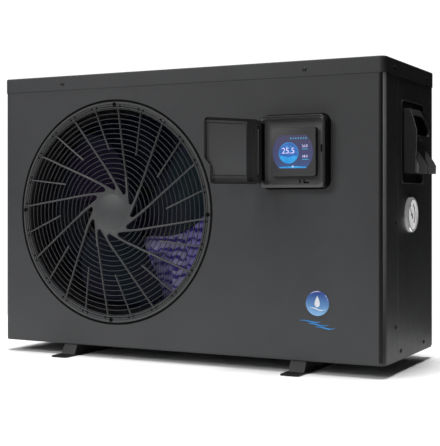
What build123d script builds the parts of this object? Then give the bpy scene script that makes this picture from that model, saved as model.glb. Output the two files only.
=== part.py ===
from build123d import *
import os
from math import asin, cos, degrees, radians, sin

# Pool heat pump, side discharge. Millimetres, +Z up, +X to the right seen from the front,
# +Y into the unit. The origin is on the ground at the centre of the four anchoring slots.

# Driving dimensions
casing_w = 915.0
casing_d = 333.0
casing_z0 = 25.0
casing_z1 = 625.0
corner_r = 12.0
sheet = 1.2
gap = 0.2
skirt_h = 32.0

front_y = -casing_d / 2
rear_y = casing_d / 2
right_x = casing_w / 2
left_x = -casing_w / 2
front_inner = front_y + sheet
rear_inner = rear_y - sheet
right_inner = right_x - sheet
panel_z0 = casing_z0 + 2.0
panel_z1 = casing_z1 - sheet - 1.0

fan_x = -163.0
fan_z = 320.0
recess_r = 246.0
recess_depth = 8.0
opening_r = 226.0
fan_r = 210.0

seam_y = -84.0
partition_x = 100.0
rear_wrap_x = 430.0
left_wrap_front = -142.0
left_wrap_rear = 140.0

box_x = 271.5
box_z = 443.0
box_size = 144.0
box_proud = 20.0
hinge_x = box_x - box_size / 2 + 2.0
cover_open = 120.0

gauge_y = -6.0
gauge_z = 316.0
handle_y = 14.0
handle_w = 148.0
handle_z0 = 382.0
handle_z1 = 547.0

foot_x = 276.0
foot_reach = 212.0
slot_y = 189.0

port_x = 185.0
port_low_z = 92.0
port_high_z = 372.0

os.makedirs("parts", exist_ok=True)


def save(name, piece):
    """Write one finished piece under its own name."""
    piece.label = name
    export_step(piece, "parts/" + name + ".step")


def casing_ring(inset=0.0):
    """Draw the sheet-thick outline of the casing in the current sketch."""
    RectangleRounded(casing_w - 2 * inset, casing_d - 2 * inset, corner_r - inset)
    inner = inset + sheet
    RectangleRounded(casing_w - 2 * inner, casing_d - 2 * inner, corner_r - inner, mode=Mode.SUBTRACT)


def keep_out(x0, x1, y0, y1):
    """Remove a rectangle, given by its corners, from the current sketch."""
    with Locations(((x0 + x1) / 2, (y0 + y1) / 2)):
        Rectangle(x1 - x0, y1 - y0, mode=Mode.SUBTRACT)


def cylinder_y(x, z, y0, y1, radius, mode=Mode.ADD):
    """Add or cut a cylinder that runs along Y between y0 and y1."""
    with Locations((x, (y0 + y1) / 2, z)):
        Cylinder(radius, abs(y1 - y0), rotation=(90, 0, 0), mode=mode)


def cylinder_x(y, z, x0, x1, radius, mode=Mode.ADD):
    """Add or cut a cylinder that runs along X between x0 and x1."""
    with Locations(((x0 + x1) / 2, y, z)):
        Cylinder(radius, abs(x1 - x0), rotation=(0, 90, 0), mode=mode)


def cylinder_z(x, y, z0, z1, radius, mode=Mode.ADD):
    """Add or cut a cylinder that runs along Z between z0 and z1."""
    with Locations((x, y, (z0 + z1) / 2)):
        Cylinder(radius, abs(z1 - z0), mode=mode)


def block(x0, x1, y0, y1, z0, z1, mode=Mode.ADD):
    """Add or cut a rectangular block given by its lowest and highest corners."""
    with Locations(((x0 + x1) / 2, (y0 + y1) / 2, (z0 + z1) / 2)):
        Box(x1 - x0, y1 - y0, z1 - z0, mode=mode)


# Fasteners: a pan head with a shank that passes through drilled sheets
screw_head_r = 4.5
screw_head_h = 2.4
shank_r = 1.9
drill_r = 2.1
shank_len = 7.0
skirt_y = front_y - gap - sheet
skirt_x = right_x + gap + sheet
skirt_screw_z = 607.0
skirt_front_x = (-296.0, 291.0)
skirt_rear_x = (-290.0, 290.0)
skirt_side_y = (-110.0, 110.0)
wrap_screws = ((-100.0, 301.0), (-100.0, 94.0))
side_screws = ((-65.0, 43.0), (93.0, 43.0))
rear_screws = ((118.0, 43.0), (412.0, 43.0), (118.0, 560.0), (412.0, 560.0))
guard_screws = ((-415.0, 43.0), (-415.0, 575.0), (85.0, 43.0), (85.0, 575.0))
grille_screw_r = 236.0

# Base pan: a tray that carries everything, with a drain hole under the coil
pan_rim = 30.0
drain_x = -163.0
drain_y = 60.0
foot_bolt_y = 110.0
bolt_drill_r = 4.2
pan_inset = sheet + gap
with BuildPart() as base_pan:
    with BuildSketch(Plane.XY.offset(casing_z0)):
        RectangleRounded(casing_w - 2 * pan_inset, casing_d - 2 * pan_inset, corner_r - pan_inset)
    extrude(amount=pan_rim)
    offset(amount=-sheet, openings=base_pan.faces().sort_by(Axis.Z)[-1])
    cylinder_z(drain_x, drain_y, casing_z0 - 1, casing_z0 + 4, 8.0, Mode.SUBTRACT)
    for x in (-foot_x, foot_x):
        for y in (-foot_bolt_y, foot_bolt_y):
            cylinder_z(x, y, casing_z0 - 1, casing_z0 + 4, bolt_drill_r, Mode.SUBTRACT)
    for y, z in side_screws:
        cylinder_x(y, z, right_inner - 6, right_x + 1, drill_r, Mode.SUBTRACT)
    for x, z in rear_screws[:2] + guard_screws[::2]:
        cylinder_y(x, z, rear_inner - 6, rear_y + 1, drill_r, Mode.SUBTRACT)
save("base_pan", base_pan.part)

# Feet: pressed hat-section rails with flat slotted tabs in front and behind
foot_w = 42.0
foot_body_w = 34.0
foot_plate = 3.0
foot_slope = 14.0
foot_body_y = 176.0
slot_len = 18.0
slot_r = 5.0


def foot(x):
    """One foot rail centred on x."""
    with BuildPart() as rail:
        with BuildSketch(Plane.YZ.offset(x - foot_body_w / 2)):
            with BuildLine():
                Polyline((-foot_body_y, 0), (foot_slope - foot_body_y, casing_z0),
                         (foot_body_y - foot_slope, casing_z0), (foot_body_y, 0), close=True)
            make_face()
        extrude(amount=foot_body_w)
        block(x - foot_w / 2, x + foot_w / 2, -foot_reach, foot_reach, 0, foot_plate)
        tabs = rail.edges().filter_by(Axis.Z).group_by(Axis.Y)
        fillet(tabs[0] + tabs[-1], 8.0)
        with BuildSketch(Plane.YZ.offset(x - foot_body_w / 2 + foot_plate)):
            with BuildLine():
                inner = foot_body_y - 5.0
                Polyline((-inner, -1), (foot_slope - inner, casing_z0 - foot_plate),
                         (inner - foot_slope, casing_z0 - foot_plate), (inner, -1), close=True)
            make_face()
        extrude(amount=foot_body_w - 2 * foot_plate, mode=Mode.SUBTRACT)
        with BuildSketch(Plane.XY.offset(-1)):
            with Locations((x, -slot_y), (x, slot_y)):
                SlotOverall(slot_len, 2 * slot_r)
        extrude(amount=foot_plate + 2, mode=Mode.SUBTRACT)
        for y in (-foot_bolt_y, foot_bolt_y):
            cylinder_z(x, y, casing_z0 - 6, casing_z0 + 1, bolt_drill_r, Mode.SUBTRACT)
    return rail.part


save("foot_left", foot(-foot_x))
save("foot_right", foot(foot_x))

# Front panel: wraps round both front corners, with a stepped round seat for the fan grille
cutout = 104.0
with BuildPart() as front_panel:
    with BuildSketch(Plane.XY.offset(panel_z0)):
        casing_ring()
        keep_out(0, right_x + 1, seam_y, rear_y + 1)
        keep_out(left_x - 1, 0, left_wrap_front, rear_y + 1)
    extrude(amount=panel_z1 - panel_z0)
    cylinder_y(fan_x, fan_z, front_y - 1, front_inner + 1, recess_r, Mode.SUBTRACT)
    with BuildSketch(Plane((fan_x, 0, fan_z))):
        with BuildLine():
            seat_y = front_y + recess_depth
            Polyline((recess_r, front_y), (recess_r + sheet, front_y), (recess_r + sheet, seat_y + sheet),
                     (opening_r, seat_y + sheet), (opening_r, seat_y), (recess_r, seat_y), close=True)
        make_face()
    revolve(axis=Axis((fan_x, 0, fan_z), (0, 1, 0)))
    block(box_x - cutout / 2, box_x + cutout / 2, front_y - 1, front_inner + 1,
          box_z - cutout / 2, box_z + cutout / 2, Mode.SUBTRACT)
    for angle in range(0, 360, 90):
        x = fan_x + grille_screw_r * cos(radians(angle - 1))
        z = fan_z + grille_screw_r * sin(radians(angle - 1))
        cylinder_y(x, z, front_y - 1, front_y + recess_depth + sheet + 1, drill_r, Mode.SUBTRACT)
    for x in skirt_front_x:
        cylinder_y(x, skirt_screw_z, front_y - 1, front_inner + 1, drill_r, Mode.SUBTRACT)
    cylinder_x(skirt_side_y[0], skirt_screw_z, right_inner - 1, right_x + 1, drill_r, Mode.SUBTRACT)
    for y, z in wrap_screws:
        cylinder_x(y, z, right_inner - 1, right_x + 1, drill_r, Mode.SUBTRACT)
save("front_panel", front_panel.part)

# Top cover: a shallow lid whose skirt overlaps the panels
with BuildPart() as top_cover:
    with BuildSketch(Plane.XY.offset(casing_z1 - skirt_h)):
        RectangleRounded(2 * skirt_x, -2 * skirt_y, corner_r + gap + sheet)
    extrude(amount=skirt_h)
    fillet(top_cover.faces().sort_by(Axis.Z)[-1].edges(), 2.5)
    offset(amount=-sheet, openings=top_cover.faces().sort_by(Axis.Z)[0])
    for x in skirt_front_x:
        cylinder_y(x, skirt_screw_z, skirt_y - 1, skirt_y + sheet + 0.1, drill_r, Mode.SUBTRACT)
    for x in skirt_rear_x:
        cylinder_y(x, skirt_screw_z, -skirt_y - sheet - 0.1, -skirt_y + 1, drill_r, Mode.SUBTRACT)
    for y in skirt_side_y:
        cylinder_x(y, skirt_screw_z, skirt_x - sheet - 0.1, skirt_x + 1, drill_r, Mode.SUBTRACT)
        cylinder_x(y, skirt_screw_z, -skirt_x - 1, -skirt_x + sheet + 0.1, drill_r, Mode.SUBTRACT)
save("top_cover", top_cover.part)

# Right side panel: from the seam round the rear corner, with a pressed pocket for the handle
pocket_depth = 9.0
gauge_hole_r = 31.0
pocket_floor_x = right_x - pocket_depth
handle_y0 = handle_y - handle_w / 2 + 7
handle_y1 = handle_y + handle_w / 2 - 7
with BuildPart() as right_side_panel:
    with BuildSketch(Plane.XY.offset(panel_z0 + 2)):
        casing_ring()
        keep_out(left_x - 1, rear_wrap_x, front_y - 1, rear_y + 1)
        keep_out(0, right_x + 1, front_y - 1, seam_y + 0.5)
    extrude(amount=panel_z1 - panel_z0 - 2)
    block(pocket_floor_x - sheet, right_inner, handle_y - handle_w / 2 - sheet, handle_y + handle_w / 2 + sheet,
          handle_z0 - sheet, handle_z1 + sheet)
    block(pocket_floor_x, right_x + 1, handle_y - handle_w / 2, handle_y + handle_w / 2,
          handle_z0, handle_z1, Mode.SUBTRACT)
    cylinder_x(gauge_y, gauge_z, right_inner - 1, right_x + 1, gauge_hole_r, Mode.SUBTRACT)
    cylinder_x(skirt_side_y[1], skirt_screw_z, right_inner - 1, right_x + 1, drill_r, Mode.SUBTRACT)
    for y, z in side_screws:
        cylinder_x(y, z, right_inner - 1, right_x + 1, drill_r, Mode.SUBTRACT)
save("right_side_panel", right_side_panel.part)

# Rear panel: closes the machine compartment, with the holes for the water ports and the cable gland
port_hole_r = 33.0
gland_x = 395.0
gland_z = 110.0
gland_hole_r = 12.6
rear_panel_x0 = partition_x + sheet + 0.5
with BuildPart() as rear_panel:
    block(rear_panel_x0, rear_wrap_x - 0.5, rear_inner, rear_y, panel_z0 + 2, panel_z1)
    for z in (port_low_z, port_high_z):
        cylinder_y(port_x, z, rear_inner - 1, rear_y + 1, port_hole_r, Mode.SUBTRACT)
    cylinder_y(gland_x, gland_z, rear_inner - 1, rear_y + 1, gland_hole_r, Mode.SUBTRACT)
    for x, z in rear_screws:
        cylinder_y(x, z, rear_inner - 1, rear_y + 1, drill_r, Mode.SUBTRACT)
    cylinder_y(skirt_rear_x[1], skirt_screw_z, rear_inner - 1, rear_y + 1, drill_r, Mode.SUBTRACT)
save("rear_panel", rear_panel.part)

# Corner post at the rear left, between the two coil guards
post_x = -rear_wrap_x
with BuildPart() as corner_post:
    with BuildSketch(Plane.XY.offset(panel_z0)):
        casing_ring()
        keep_out(post_x, right_x + 1, front_y - 1, rear_y + 1)
        keep_out(left_x - 1, post_x + 1, front_y - 1, left_wrap_rear)
    extrude(amount=panel_z1 - panel_z0)
save("corner_post", corner_post.part)

# Coil guards: moulded nets of crossing bars in a flat frame, one behind and one on the left
guard_t = 4.0
guard_rim = 14.0
net_pitch = 34.0
net_bar = 3.0
guard_z0 = panel_z0
guard_z1 = panel_z1


def net_sketch(width, height):
    """Draw a framed diamond net centred on the current sketch plane."""
    Rectangle(width, height)
    Rectangle(width - 2 * guard_rim, height - 2 * guard_rim, mode=Mode.SUBTRACT)
    with BuildSketch(mode=Mode.PRIVATE) as bars:
        count = int((width + height) / net_pitch / 2)
        with Locations([(step * net_pitch, 0) for step in range(-count, count + 1)]):
            Rectangle(net_bar, 2 * height, rotation=45)
            Rectangle(net_bar, 2 * height, rotation=-45)
        Rectangle(width - 2 * guard_rim + 1, height - 2 * guard_rim + 1, mode=Mode.INTERSECT)
    add(bars.sketch)


rear_guard_x0 = post_x + 0.5
rear_guard_x1 = partition_x
guard_mid_z = (guard_z0 + guard_z1) / 2
with BuildPart() as rear_guard:
    with BuildSketch(Plane(((rear_guard_x0 + rear_guard_x1) / 2, rear_y, guard_mid_z), (-1, 0, 0), (0, 1, 0))):
        net_sketch(rear_guard_x1 - rear_guard_x0, guard_z1 - guard_z0)
    extrude(amount=-guard_t)
    for x, z in guard_screws:
        cylinder_y(x, z, rear_y - guard_t - 1, rear_y + 1, drill_r, Mode.SUBTRACT)
    cylinder_y(skirt_rear_x[0], skirt_screw_z, rear_y - guard_t - 1, rear_y + 1, drill_r, Mode.SUBTRACT)
    block(rear_guard_x0 - 1, rear_guard_x1 + 1, rear_y - guard_t - 1, rear_inner,
          guard_z0 - 1, casing_z0 + pan_rim + 0.2, Mode.SUBTRACT)
save("rear_guard", rear_guard.part)

left_guard_y0 = left_wrap_front + 0.5
left_guard_y1 = left_wrap_rear - 0.5
with BuildPart() as left_guard:
    with BuildSketch(Plane((left_x, (left_guard_y0 + left_guard_y1) / 2, guard_mid_z), (0, -1, 0), (-1, 0, 0))):
        net_sketch(left_guard_y1 - left_guard_y0, guard_z1 - guard_z0)
    extrude(amount=-guard_t)
    for y in skirt_side_y:
        cylinder_x(y, skirt_screw_z, left_x - 1, left_x + guard_t + 1, drill_r, Mode.SUBTRACT)
    block(left_x + sheet, left_x + guard_t + 1, left_guard_y0 - 1, left_guard_y1 + 1,
          guard_z0 - 1, casing_z0 + pan_rim + 0.2, Mode.SUBTRACT)
save("left_guard", left_guard.part)

# Partition: separates the fan chamber from the machine compartment
floor_z = casing_z0 + sheet
with BuildPart() as partition_plate:
    block(partition_x, partition_x + sheet, front_inner + 2, rear_inner - 6, floor_z, panel_z1)
save("partition_plate", partition_plate.part)

# Fan ring: a flared orifice clamped behind the grille seat
ring_y0 = front_y + recess_depth + sheet
ring_throat = 217.0
ring_t = 1.6
with BuildPart() as fan_ring:
    with BuildSketch(Plane((fan_x, 0, fan_z))):
        with BuildLine():
            Polyline((opening_r + 24, ring_y0), (opening_r + 24, ring_y0 + ring_t),
                     (opening_r + 1, ring_y0 + ring_t), (ring_throat + ring_t, ring_y0 + 28),
                     (ring_throat + ring_t, ring_y0 + 80), (ring_throat, ring_y0 + 80),
                     (ring_throat, ring_y0 + 28), (opening_r, ring_y0), close=True)
        make_face()
    revolve(axis=Axis((fan_x, 0, fan_z), (0, 1, 0)))
    for angle in range(0, 360, 90):
        x = fan_x + grille_screw_r * cos(radians(angle - 1))
        z = fan_z + grille_screw_r * sin(radians(angle - 1))
        cylinder_y(x, z, ring_y0 - 1, ring_y0 + ring_t + 1, drill_r, Mode.SUBTRACT)
save("fan_ring", fan_ring.part)

# Fan grille: a hub disc, concentric rings and swept ribs inside a screwed flange
grille_r = recess_r - 2.0
grille_y0 = front_y - 0.5
grille_flange_t = recess_depth + 0.5
rib_depth = 7.0
hub_disc_r = 52.0
rib_tangent_r = 44.0
rib_outer_r = 229.0
rib_w = 4.5
ring_w = 1.8
ring_pitch = 10.8
ring_count = 16
ring_first_r = 64.0


grille_plane = Plane((fan_x, grille_y0, fan_z), (1, 0, 0), (0, -1, 0))
rib_reach = (rib_outer_r ** 2 - rib_tangent_r ** 2) ** 0.5
rib_lean = degrees(asin(rib_tangent_r / rib_outer_r))


def ribs(inner_r, first_angle):
    """Draw twelve swept ribs from inner_r to rib_outer_r, tangent to a circle round the hub."""
    start = max(inner_r ** 2 - rib_tangent_r ** 2, 0.0) ** 0.5
    with PolarLocations(0, 12, start_angle=first_angle + rib_lean):
        with Locations(((start + rib_reach) / 2, -rib_tangent_r)):
            Rectangle(rib_reach - start, rib_w)


with BuildPart() as fan_grille:
    with BuildSketch(grille_plane):
        Circle(grille_r)
        Circle(rib_outer_r - 1, mode=Mode.SUBTRACT)
    extrude(amount=-grille_flange_t)
    with BuildSketch(grille_plane):
        for index in reversed(range(ring_count)):
            Circle(ring_first_r + ring_pitch * index + ring_w / 2)
            Circle(ring_first_r + ring_pitch * index - ring_w / 2, mode=Mode.SUBTRACT)
        Circle(hub_disc_r)
        ribs(0.0, -3.2)
        ribs(138.0, 11.8)
    extrude(amount=-rib_depth)
    for angle in range(0, 360, 90):
        x = fan_x + grille_screw_r * cos(radians(angle - 1))
        z = fan_z + grille_screw_r * sin(radians(angle - 1))
        cylinder_y(x, z, grille_y0 - 1, front_y + recess_depth + 1, drill_r, Mode.SUBTRACT)
save("fan_grille", fan_grille.part)

# Motor and its two upright channels behind the fan
motor_r = 58.0
motor_y0 = -38.0
motor_y1 = 44.0
shaft_r = 6.0
shaft_fit = 0.05
rail_x = 46.0
rail_w = 32.0
rail_d = 14.0
with BuildPart() as fan_motor:
    cylinder_y(fan_x, fan_z, motor_y0, motor_y1, motor_r)
    fillet(fan_motor.edges().filter_by(GeomType.CIRCLE), 7.0)
    cylinder_y(fan_x, fan_z, motor_y0 - 12, motor_y0, 22.0)
    cylinder_y(fan_x, fan_z, motor_y0 - 13, motor_y1 - 20, shaft_r + shaft_fit, Mode.SUBTRACT)
save("fan_motor", fan_motor.part)

with BuildPart() as motor_bracket:
    for x in (fan_x - rail_x, fan_x + rail_x):
        block(x - rail_w / 2, x + rail_w / 2, motor_y1, motor_y1 + rail_d, floor_z, panel_z1)
        block(x - rail_w / 2 + 2, x + rail_w / 2 - 2, motor_y1 + 2, motor_y1 + rail_d + 1,
              floor_z - 1, panel_z1 + 1, Mode.SUBTRACT)
    for z in (fan_z - 75, fan_z + 75):
        block(fan_x - rail_x - rail_w / 2, fan_x + rail_x + rail_w / 2, motor_y1, motor_y1 + 2,
              z - 20, z + 20)
save("motor_bracket", motor_bracket.part)

# Fan: shaft, three broad swept blades on a moulded hub, and the shaft nut
fan_y = -95.0
hub_r = 46.0
hub_y0 = fan_y - 32
hub_y1 = fan_y + 34
blade_t = 3.5
with BuildPart() as fan_shaft:
    cylinder_y(fan_x, fan_z, hub_y0 - 12, motor_y1 - 22, shaft_r)
save("fan_shaft", fan_shaft.part)


def blade_section(angle, radius, chord, pitch):
    """Draw one blade section on the plane square to the radius at the given angle."""
    out = Vector(cos(radians(angle)), 0, sin(radians(angle)))
    around = Vector(-sin(radians(angle)), 0, cos(radians(angle)))
    along = around * cos(radians(pitch)) + Vector(0, 1, 0) * sin(radians(pitch))
    with BuildSketch(Plane(Vector(fan_x, fan_y, fan_z) + out * radius, along, out)) as section:
        RectangleRounded(chord, blade_t, blade_t / 2 - 0.1)
    return section.sketch.face()


with BuildPart() as fan_impeller:
    cylinder_y(fan_x, fan_z, hub_y0, hub_y1, hub_r)
    for index in range(3):
        root = blade_section(120 * index, 34.0, 58.0, 38.0)
        middle = blade_section(120 * index + 10, 120.0, 150.0, 26.0)
        tip = blade_section(120 * index + 22, 206.0, 214.0, 18.0)
        loft([root, middle, tip])
    with BuildSketch(Plane((fan_x, hub_y0 - 20, fan_z), (1, 0, 0), (0, -1, 0))):
        Circle(fan_r)
    extrude(amount=-120, mode=Mode.INTERSECT)
    cylinder_y(fan_x, fan_z, hub_y0 - 60, hub_y1 + 60, shaft_r, Mode.SUBTRACT)
save("fan_impeller", fan_impeller.part)

with BuildPart() as fan_nut:
    with BuildSketch(Plane((fan_x, hub_y0, fan_z), (1, 0, 0), (0, -1, 0))):
        RegularPolygon(11.0, 6)
        Circle(shaft_r, mode=Mode.SUBTRACT)
    extrude(amount=9)
save("fan_nut", fan_nut.part)

# Evaporator: an L-shaped fin block across the back and down the left side
coil_t = 30.0
coil_z0 = floor_z + 3
coil_z1 = 605.0
coil_x0 = left_x + guard_t + 4
coil_x1 = partition_x - 20
coil_y1 = rear_y - guard_t - 4
coil_front = -128.0
with BuildPart() as evaporator_coil:
    with BuildSketch(Plane.XY.offset(coil_z0)):
        with BuildLine():
            Polyline((coil_x1, coil_y1 - coil_t), (coil_x1, coil_y1), (coil_x0, coil_y1), (coil_x0, coil_front),
                     (coil_x0 + coil_t, coil_front), (coil_x0 + coil_t, coil_y1 - coil_t), close=True)
        make_face()
    extrude(amount=coil_z1 - coil_z0)
    bend = evaporator_coil.edges().filter_by(Axis.Z)
    fillet(bend.sort_by(Axis.X)[0:2].sort_by(Axis.Y)[-1], coil_t + 12)
    inner_bend = evaporator_coil.edges().filter_by(Axis.Z).filter_by_position(
        Axis.X, coil_x0 + coil_t - 1, coil_x0 + coil_t + 1).sort_by(Axis.Y)[-1]
    fillet(inner_bend, 12)
save("evaporator_coil", evaporator_coil.part)

with BuildPart() as coil_end_plates:
    block(coil_x1, coil_x1 + 1.5, coil_y1 - coil_t, coil_y1, floor_z, coil_z1)
    block(coil_x0, coil_x0 + coil_t, coil_front - 1.5, coil_front, floor_z, coil_z1)
save("coil_end_plates", coil_end_plates.part)

tube_r = 3.0
bend_r = 7.0
bend_pitch = 44.0
bend_count = 12
bend_x = coil_x1 + 1.5
bend_y = coil_y1 - coil_t / 2
with BuildPart() as return_bends:
    for index in range(bend_count):
        z = coil_z0 + 40 + bend_pitch * index
        with BuildLine():
            Line((bend_x, bend_y - bend_r, z), (bend_x + 2, bend_y - bend_r, z))
            ThreePointArc((bend_x + 2, bend_y - bend_r, z), (bend_x + 2 + bend_r, bend_y, z),
                          (bend_x + 2, bend_y + bend_r, z))
            Line((bend_x + 2, bend_y + bend_r, z), (bend_x, bend_y + bend_r, z))
        with BuildSketch(Plane((bend_x, bend_y - bend_r, z), (0, 1, 0), (1, 0, 0))):
            Circle(tube_r)
        sweep()
save("return_bends", return_bends.part)

# Refrigerant circuit in the machine compartment
comp_x = 345.0
comp_y = -42.0
comp_z0 = 48.0
comp_z1 = 340.0
comp_r = 66.0
stud_ring = 78.0
with BuildPart() as compressor:
    cylinder_z(comp_x, comp_y, comp_z0, comp_z1, comp_r)
    fillet(compressor.edges().filter_by(GeomType.CIRCLE), 20.0)
    with BuildSketch(Plane.XY.offset(comp_z0)):
        with Locations((comp_x, comp_y)):
            with PolarLocations(stud_ring - 12, 3, start_angle=30):
                Rectangle(46, 30)
    extrude(amount=4)
    cylinder_z(comp_x, comp_y, comp_z1, comp_z1 + 18, 24.0)
save("compressor", compressor.part)

with BuildPart() as compressor_grommets:
    with BuildSketch(Plane.XY.offset(floor_z)):
        with Locations((comp_x, comp_y)):
            with PolarLocations(stud_ring - 2, 3, start_angle=30):
                Circle(13.0)
    extrude(amount=comp_z0 - floor_z)
save("compressor_grommets", compressor_grommets.part)

drum_x = 235.0
drum_y = -74.0
drum_z0 = 110.0
drum_z1 = 330.0
drum_r = 33.0
with BuildPart() as suction_accumulator:
    cylinder_z(drum_x, drum_y, drum_z0, drum_z1, drum_r)
    fillet(suction_accumulator.edges().filter_by(GeomType.CIRCLE), 14.0)
save("suction_accumulator", suction_accumulator.part)

valve_y = 70.0
valve_z = 385.0
valve_x0 = 290.0
valve_x1 = 400.0
with BuildPart() as four_way_valve:
    cylinder_x(valve_y, valve_z, valve_x0, valve_x1, 13.0)
    cylinder_z(comp_x, valve_y, valve_z, valve_z + 26, 6.0)
    for x in (comp_x - 22, comp_x, comp_x + 22):
        cylinder_z(x, valve_y, valve_z - 26, valve_z, 6.0)
    cylinder_y(comp_x, valve_z, valve_y + 8, valve_y + 34, 11.0)
save("four_way_valve", four_way_valve.part)

drier_x = 415.0
drier_y = 118.0
drier_z0 = 180.0
drier_z1 = 290.0
with BuildPart() as filter_drier:
    cylinder_z(drier_x, drier_y, drier_z0, drier_z1, 18.0)
    fillet(filter_drier.edges().filter_by(GeomType.CIRCLE), 8.0)
save("filter_drier", filter_drier.part)

expansion_x = 300.0
expansion_y = 128.0
expansion_z = 210.0
with BuildPart() as expansion_valve:
    cylinder_z(expansion_x, expansion_y, expansion_z, expansion_z + 34, 10.0)
    cylinder_z(expansion_x, expansion_y, expansion_z + 34, expansion_z + 66, 20.0)
save("expansion_valve", expansion_valve.part)


def pipe(points, bend, radius):
    """Sweep a round pipe along straight runs joined by tangent bends."""
    start = Vector(*points[0])
    heading = (Vector(*points[1]) - start).normalized()
    with BuildPart() as run:
        with BuildLine():
            FilletPolyline(*points, radius=bend)
        with BuildSketch(Plane(start, z_dir=heading)):
            Circle(radius)
        sweep()
    return run.part


pipe_r = 5.0
pipe_bend = 18.0
discharge_route = ((comp_x, comp_y, comp_z1 + 18), (comp_x, comp_y, valve_z + 40),
                   (comp_x, valve_y, valve_z + 40), (comp_x, valve_y, valve_z + 26))
suction_route = ((comp_x - 22, valve_y, valve_z - 26), (comp_x - 22, valve_y, comp_z1 + 9),
                 (drum_x, drum_y + 10, comp_z1 + 9), (drum_x, drum_y + 10, drum_z1))
liquid_route = ((expansion_x, expansion_y, expansion_z), (expansion_x, expansion_y, 120.0),
                (drier_x, drier_y, 120.0), (drier_x, drier_y, drier_z0))
save("discharge_pipe", pipe(discharge_route, 6.5, pipe_r))
save("suction_pipe", pipe(suction_route, 9.0, pipe_r))
save("liquid_pipe", pipe(liquid_route, pipe_bend, pipe_r))

# Water heat exchanger: an upright shell round a titanium coil, with two ports through the rear panel
shell_y = 72.0
shell_r = 66.0
shell_z0 = 40.0
shell_z1 = 424.0
port_r = 31.0
bore_r = 25.0
bore_len = 32.0
port_y1 = 214.0
with BuildPart() as heat_exchanger:
    cylinder_z(port_x, shell_y, shell_z0, shell_z1, shell_r)
    fillet(heat_exchanger.edges().filter_by(GeomType.CIRCLE), 16.0)
    block(port_x - 50, port_x + 50, shell_y - 40, shell_y + 40, floor_z, shell_z0 + 2)
save("heat_exchanger", heat_exchanger.part)


def water_port(z):
    """A socket port from the shell to just behind the casing, with a collar for its union nut."""
    with BuildPart() as port:
        cylinder_y(port_x, z, shell_y, port_y1, port_r)
        cylinder_z(port_x, shell_y, shell_z0 - 1, shell_z1 + 1, shell_r, Mode.SUBTRACT)
        cylinder_y(port_x, z, port_y1 - bore_len, port_y1 + 1, bore_r, Mode.SUBTRACT)
        cylinder_y(port_x, z, 0, port_y1, 20.0, Mode.SUBTRACT)
        with BuildSketch(Plane((port_x, rear_y, z), (-1, 0, 0), (0, 1, 0))):
            Circle(40.0)
            Circle(port_r - 1, mode=Mode.SUBTRACT)
        extrude(amount=4)
    return port.part


save("water_outlet_port", water_port(port_high_z))
save("water_inlet_port", water_port(port_low_z))

nut_y0 = 176.0
nut_y1 = 206.0
nut_fit = 0.08
nut_r = 39.0


def union_nut(z):
    """A ribbed union nut that turns on its port."""
    with BuildPart() as nut:
        with BuildSketch(Plane((port_x, nut_y0, z), (-1, 0, 0), (0, 1, 0))):
            Circle(nut_r)
            with PolarLocations(nut_r, 12):
                Rectangle(5, 8)
            Circle(port_r + nut_fit, mode=Mode.SUBTRACT)
        extrude(amount=nut_y1 - nut_y0)
    return nut.part


save("union_nut_outlet", union_nut(port_high_z))
save("union_nut_inlet", union_nut(port_low_z))

with BuildPart() as drain_spout:
    cylinder_z(drain_x, drain_y, 4.0, casing_z0, 12.0)
    cylinder_z(drain_x, drain_y, casing_z0, casing_z0 + sheet + 2, 7.9)
    cylinder_z(drain_x, drain_y, 3.0, casing_z0 + 5, 6.0, Mode.SUBTRACT)
save("drain_spout", drain_spout.part)

# Electrics: a control box under the top cover with its board, heat sink and terminals
elec_x0 = partition_x + sheet
elec_x1 = 430.0
elec_y0 = -120.0
elec_y1 = 40.0
elec_z0 = 450.0
elec_z1 = 595.0
with BuildPart() as electrical_box:
    block(elec_x0, elec_x1, elec_y0, elec_y1, elec_z0, elec_z1)
    offset(amount=-2.0, openings=electrical_box.faces().sort_by(Axis.Y)[0])
save("electrical_box", electrical_box.part)

with BuildPart() as circuit_board:
    block(elec_x0 + 60, elec_x1 - 20, elec_y1 - 14, elec_y1 - 12.4, elec_z0 + 12, elec_z1 - 12)
    block(elec_x0 + 80, elec_x0 + 120, elec_y1 - 44, elec_y1 - 14, elec_z0 + 30, elec_z0 + 70)
    for x in (elec_x0 + 150, elec_x0 + 178, elec_x0 + 206):
        cylinder_y(x, elec_z0 + 60, elec_y1 - 52, elec_y1 - 14, 11.0)
    block(elec_x0 + 230, elec_x0 + 260, elec_y1 - 32, elec_y1 - 14, elec_z0 + 40, elec_z0 + 90)
    for x in (elec_x0 + 68, elec_x1 - 28):
        for z in (elec_z0 + 20, elec_z1 - 20):
            cylinder_y(x, z, elec_y1 - 13, elec_y1 - 2, 4.0)
save("circuit_board", circuit_board.part)

fin_count = 12
sink_x0 = elec_x0 + 100
sink_x1 = elec_x0 + 232
fin_step = (sink_x1 - sink_x0 - 2) / (fin_count - 1)
with BuildPart() as heat_sink:
    block(sink_x0, sink_x1, elec_y1, elec_y1 + 6, elec_z0 + 20, elec_z1 - 20)
    for index in range(fin_count):
        x = sink_x0 + index * fin_step
        block(x, x + 2, elec_y1 + 6, elec_y1 + 36, elec_z0 + 20, elec_z1 - 20)
save("heat_sink", heat_sink.part)

terminal_x = elec_x0 + 12
with BuildPart() as terminal_block:
    block(terminal_x, terminal_x + 36, elec_y1 - 30, elec_y1 - 2, elec_z0 + 20, elec_z1 - 25)
    for index in range(5):
        cylinder_y(terminal_x + 18, elec_z0 + 34 + 18 * index, elec_y1 - 31, elec_y1 - 20, 5.0, Mode.SUBTRACT)
save("terminal_block", terminal_block.part)

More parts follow.
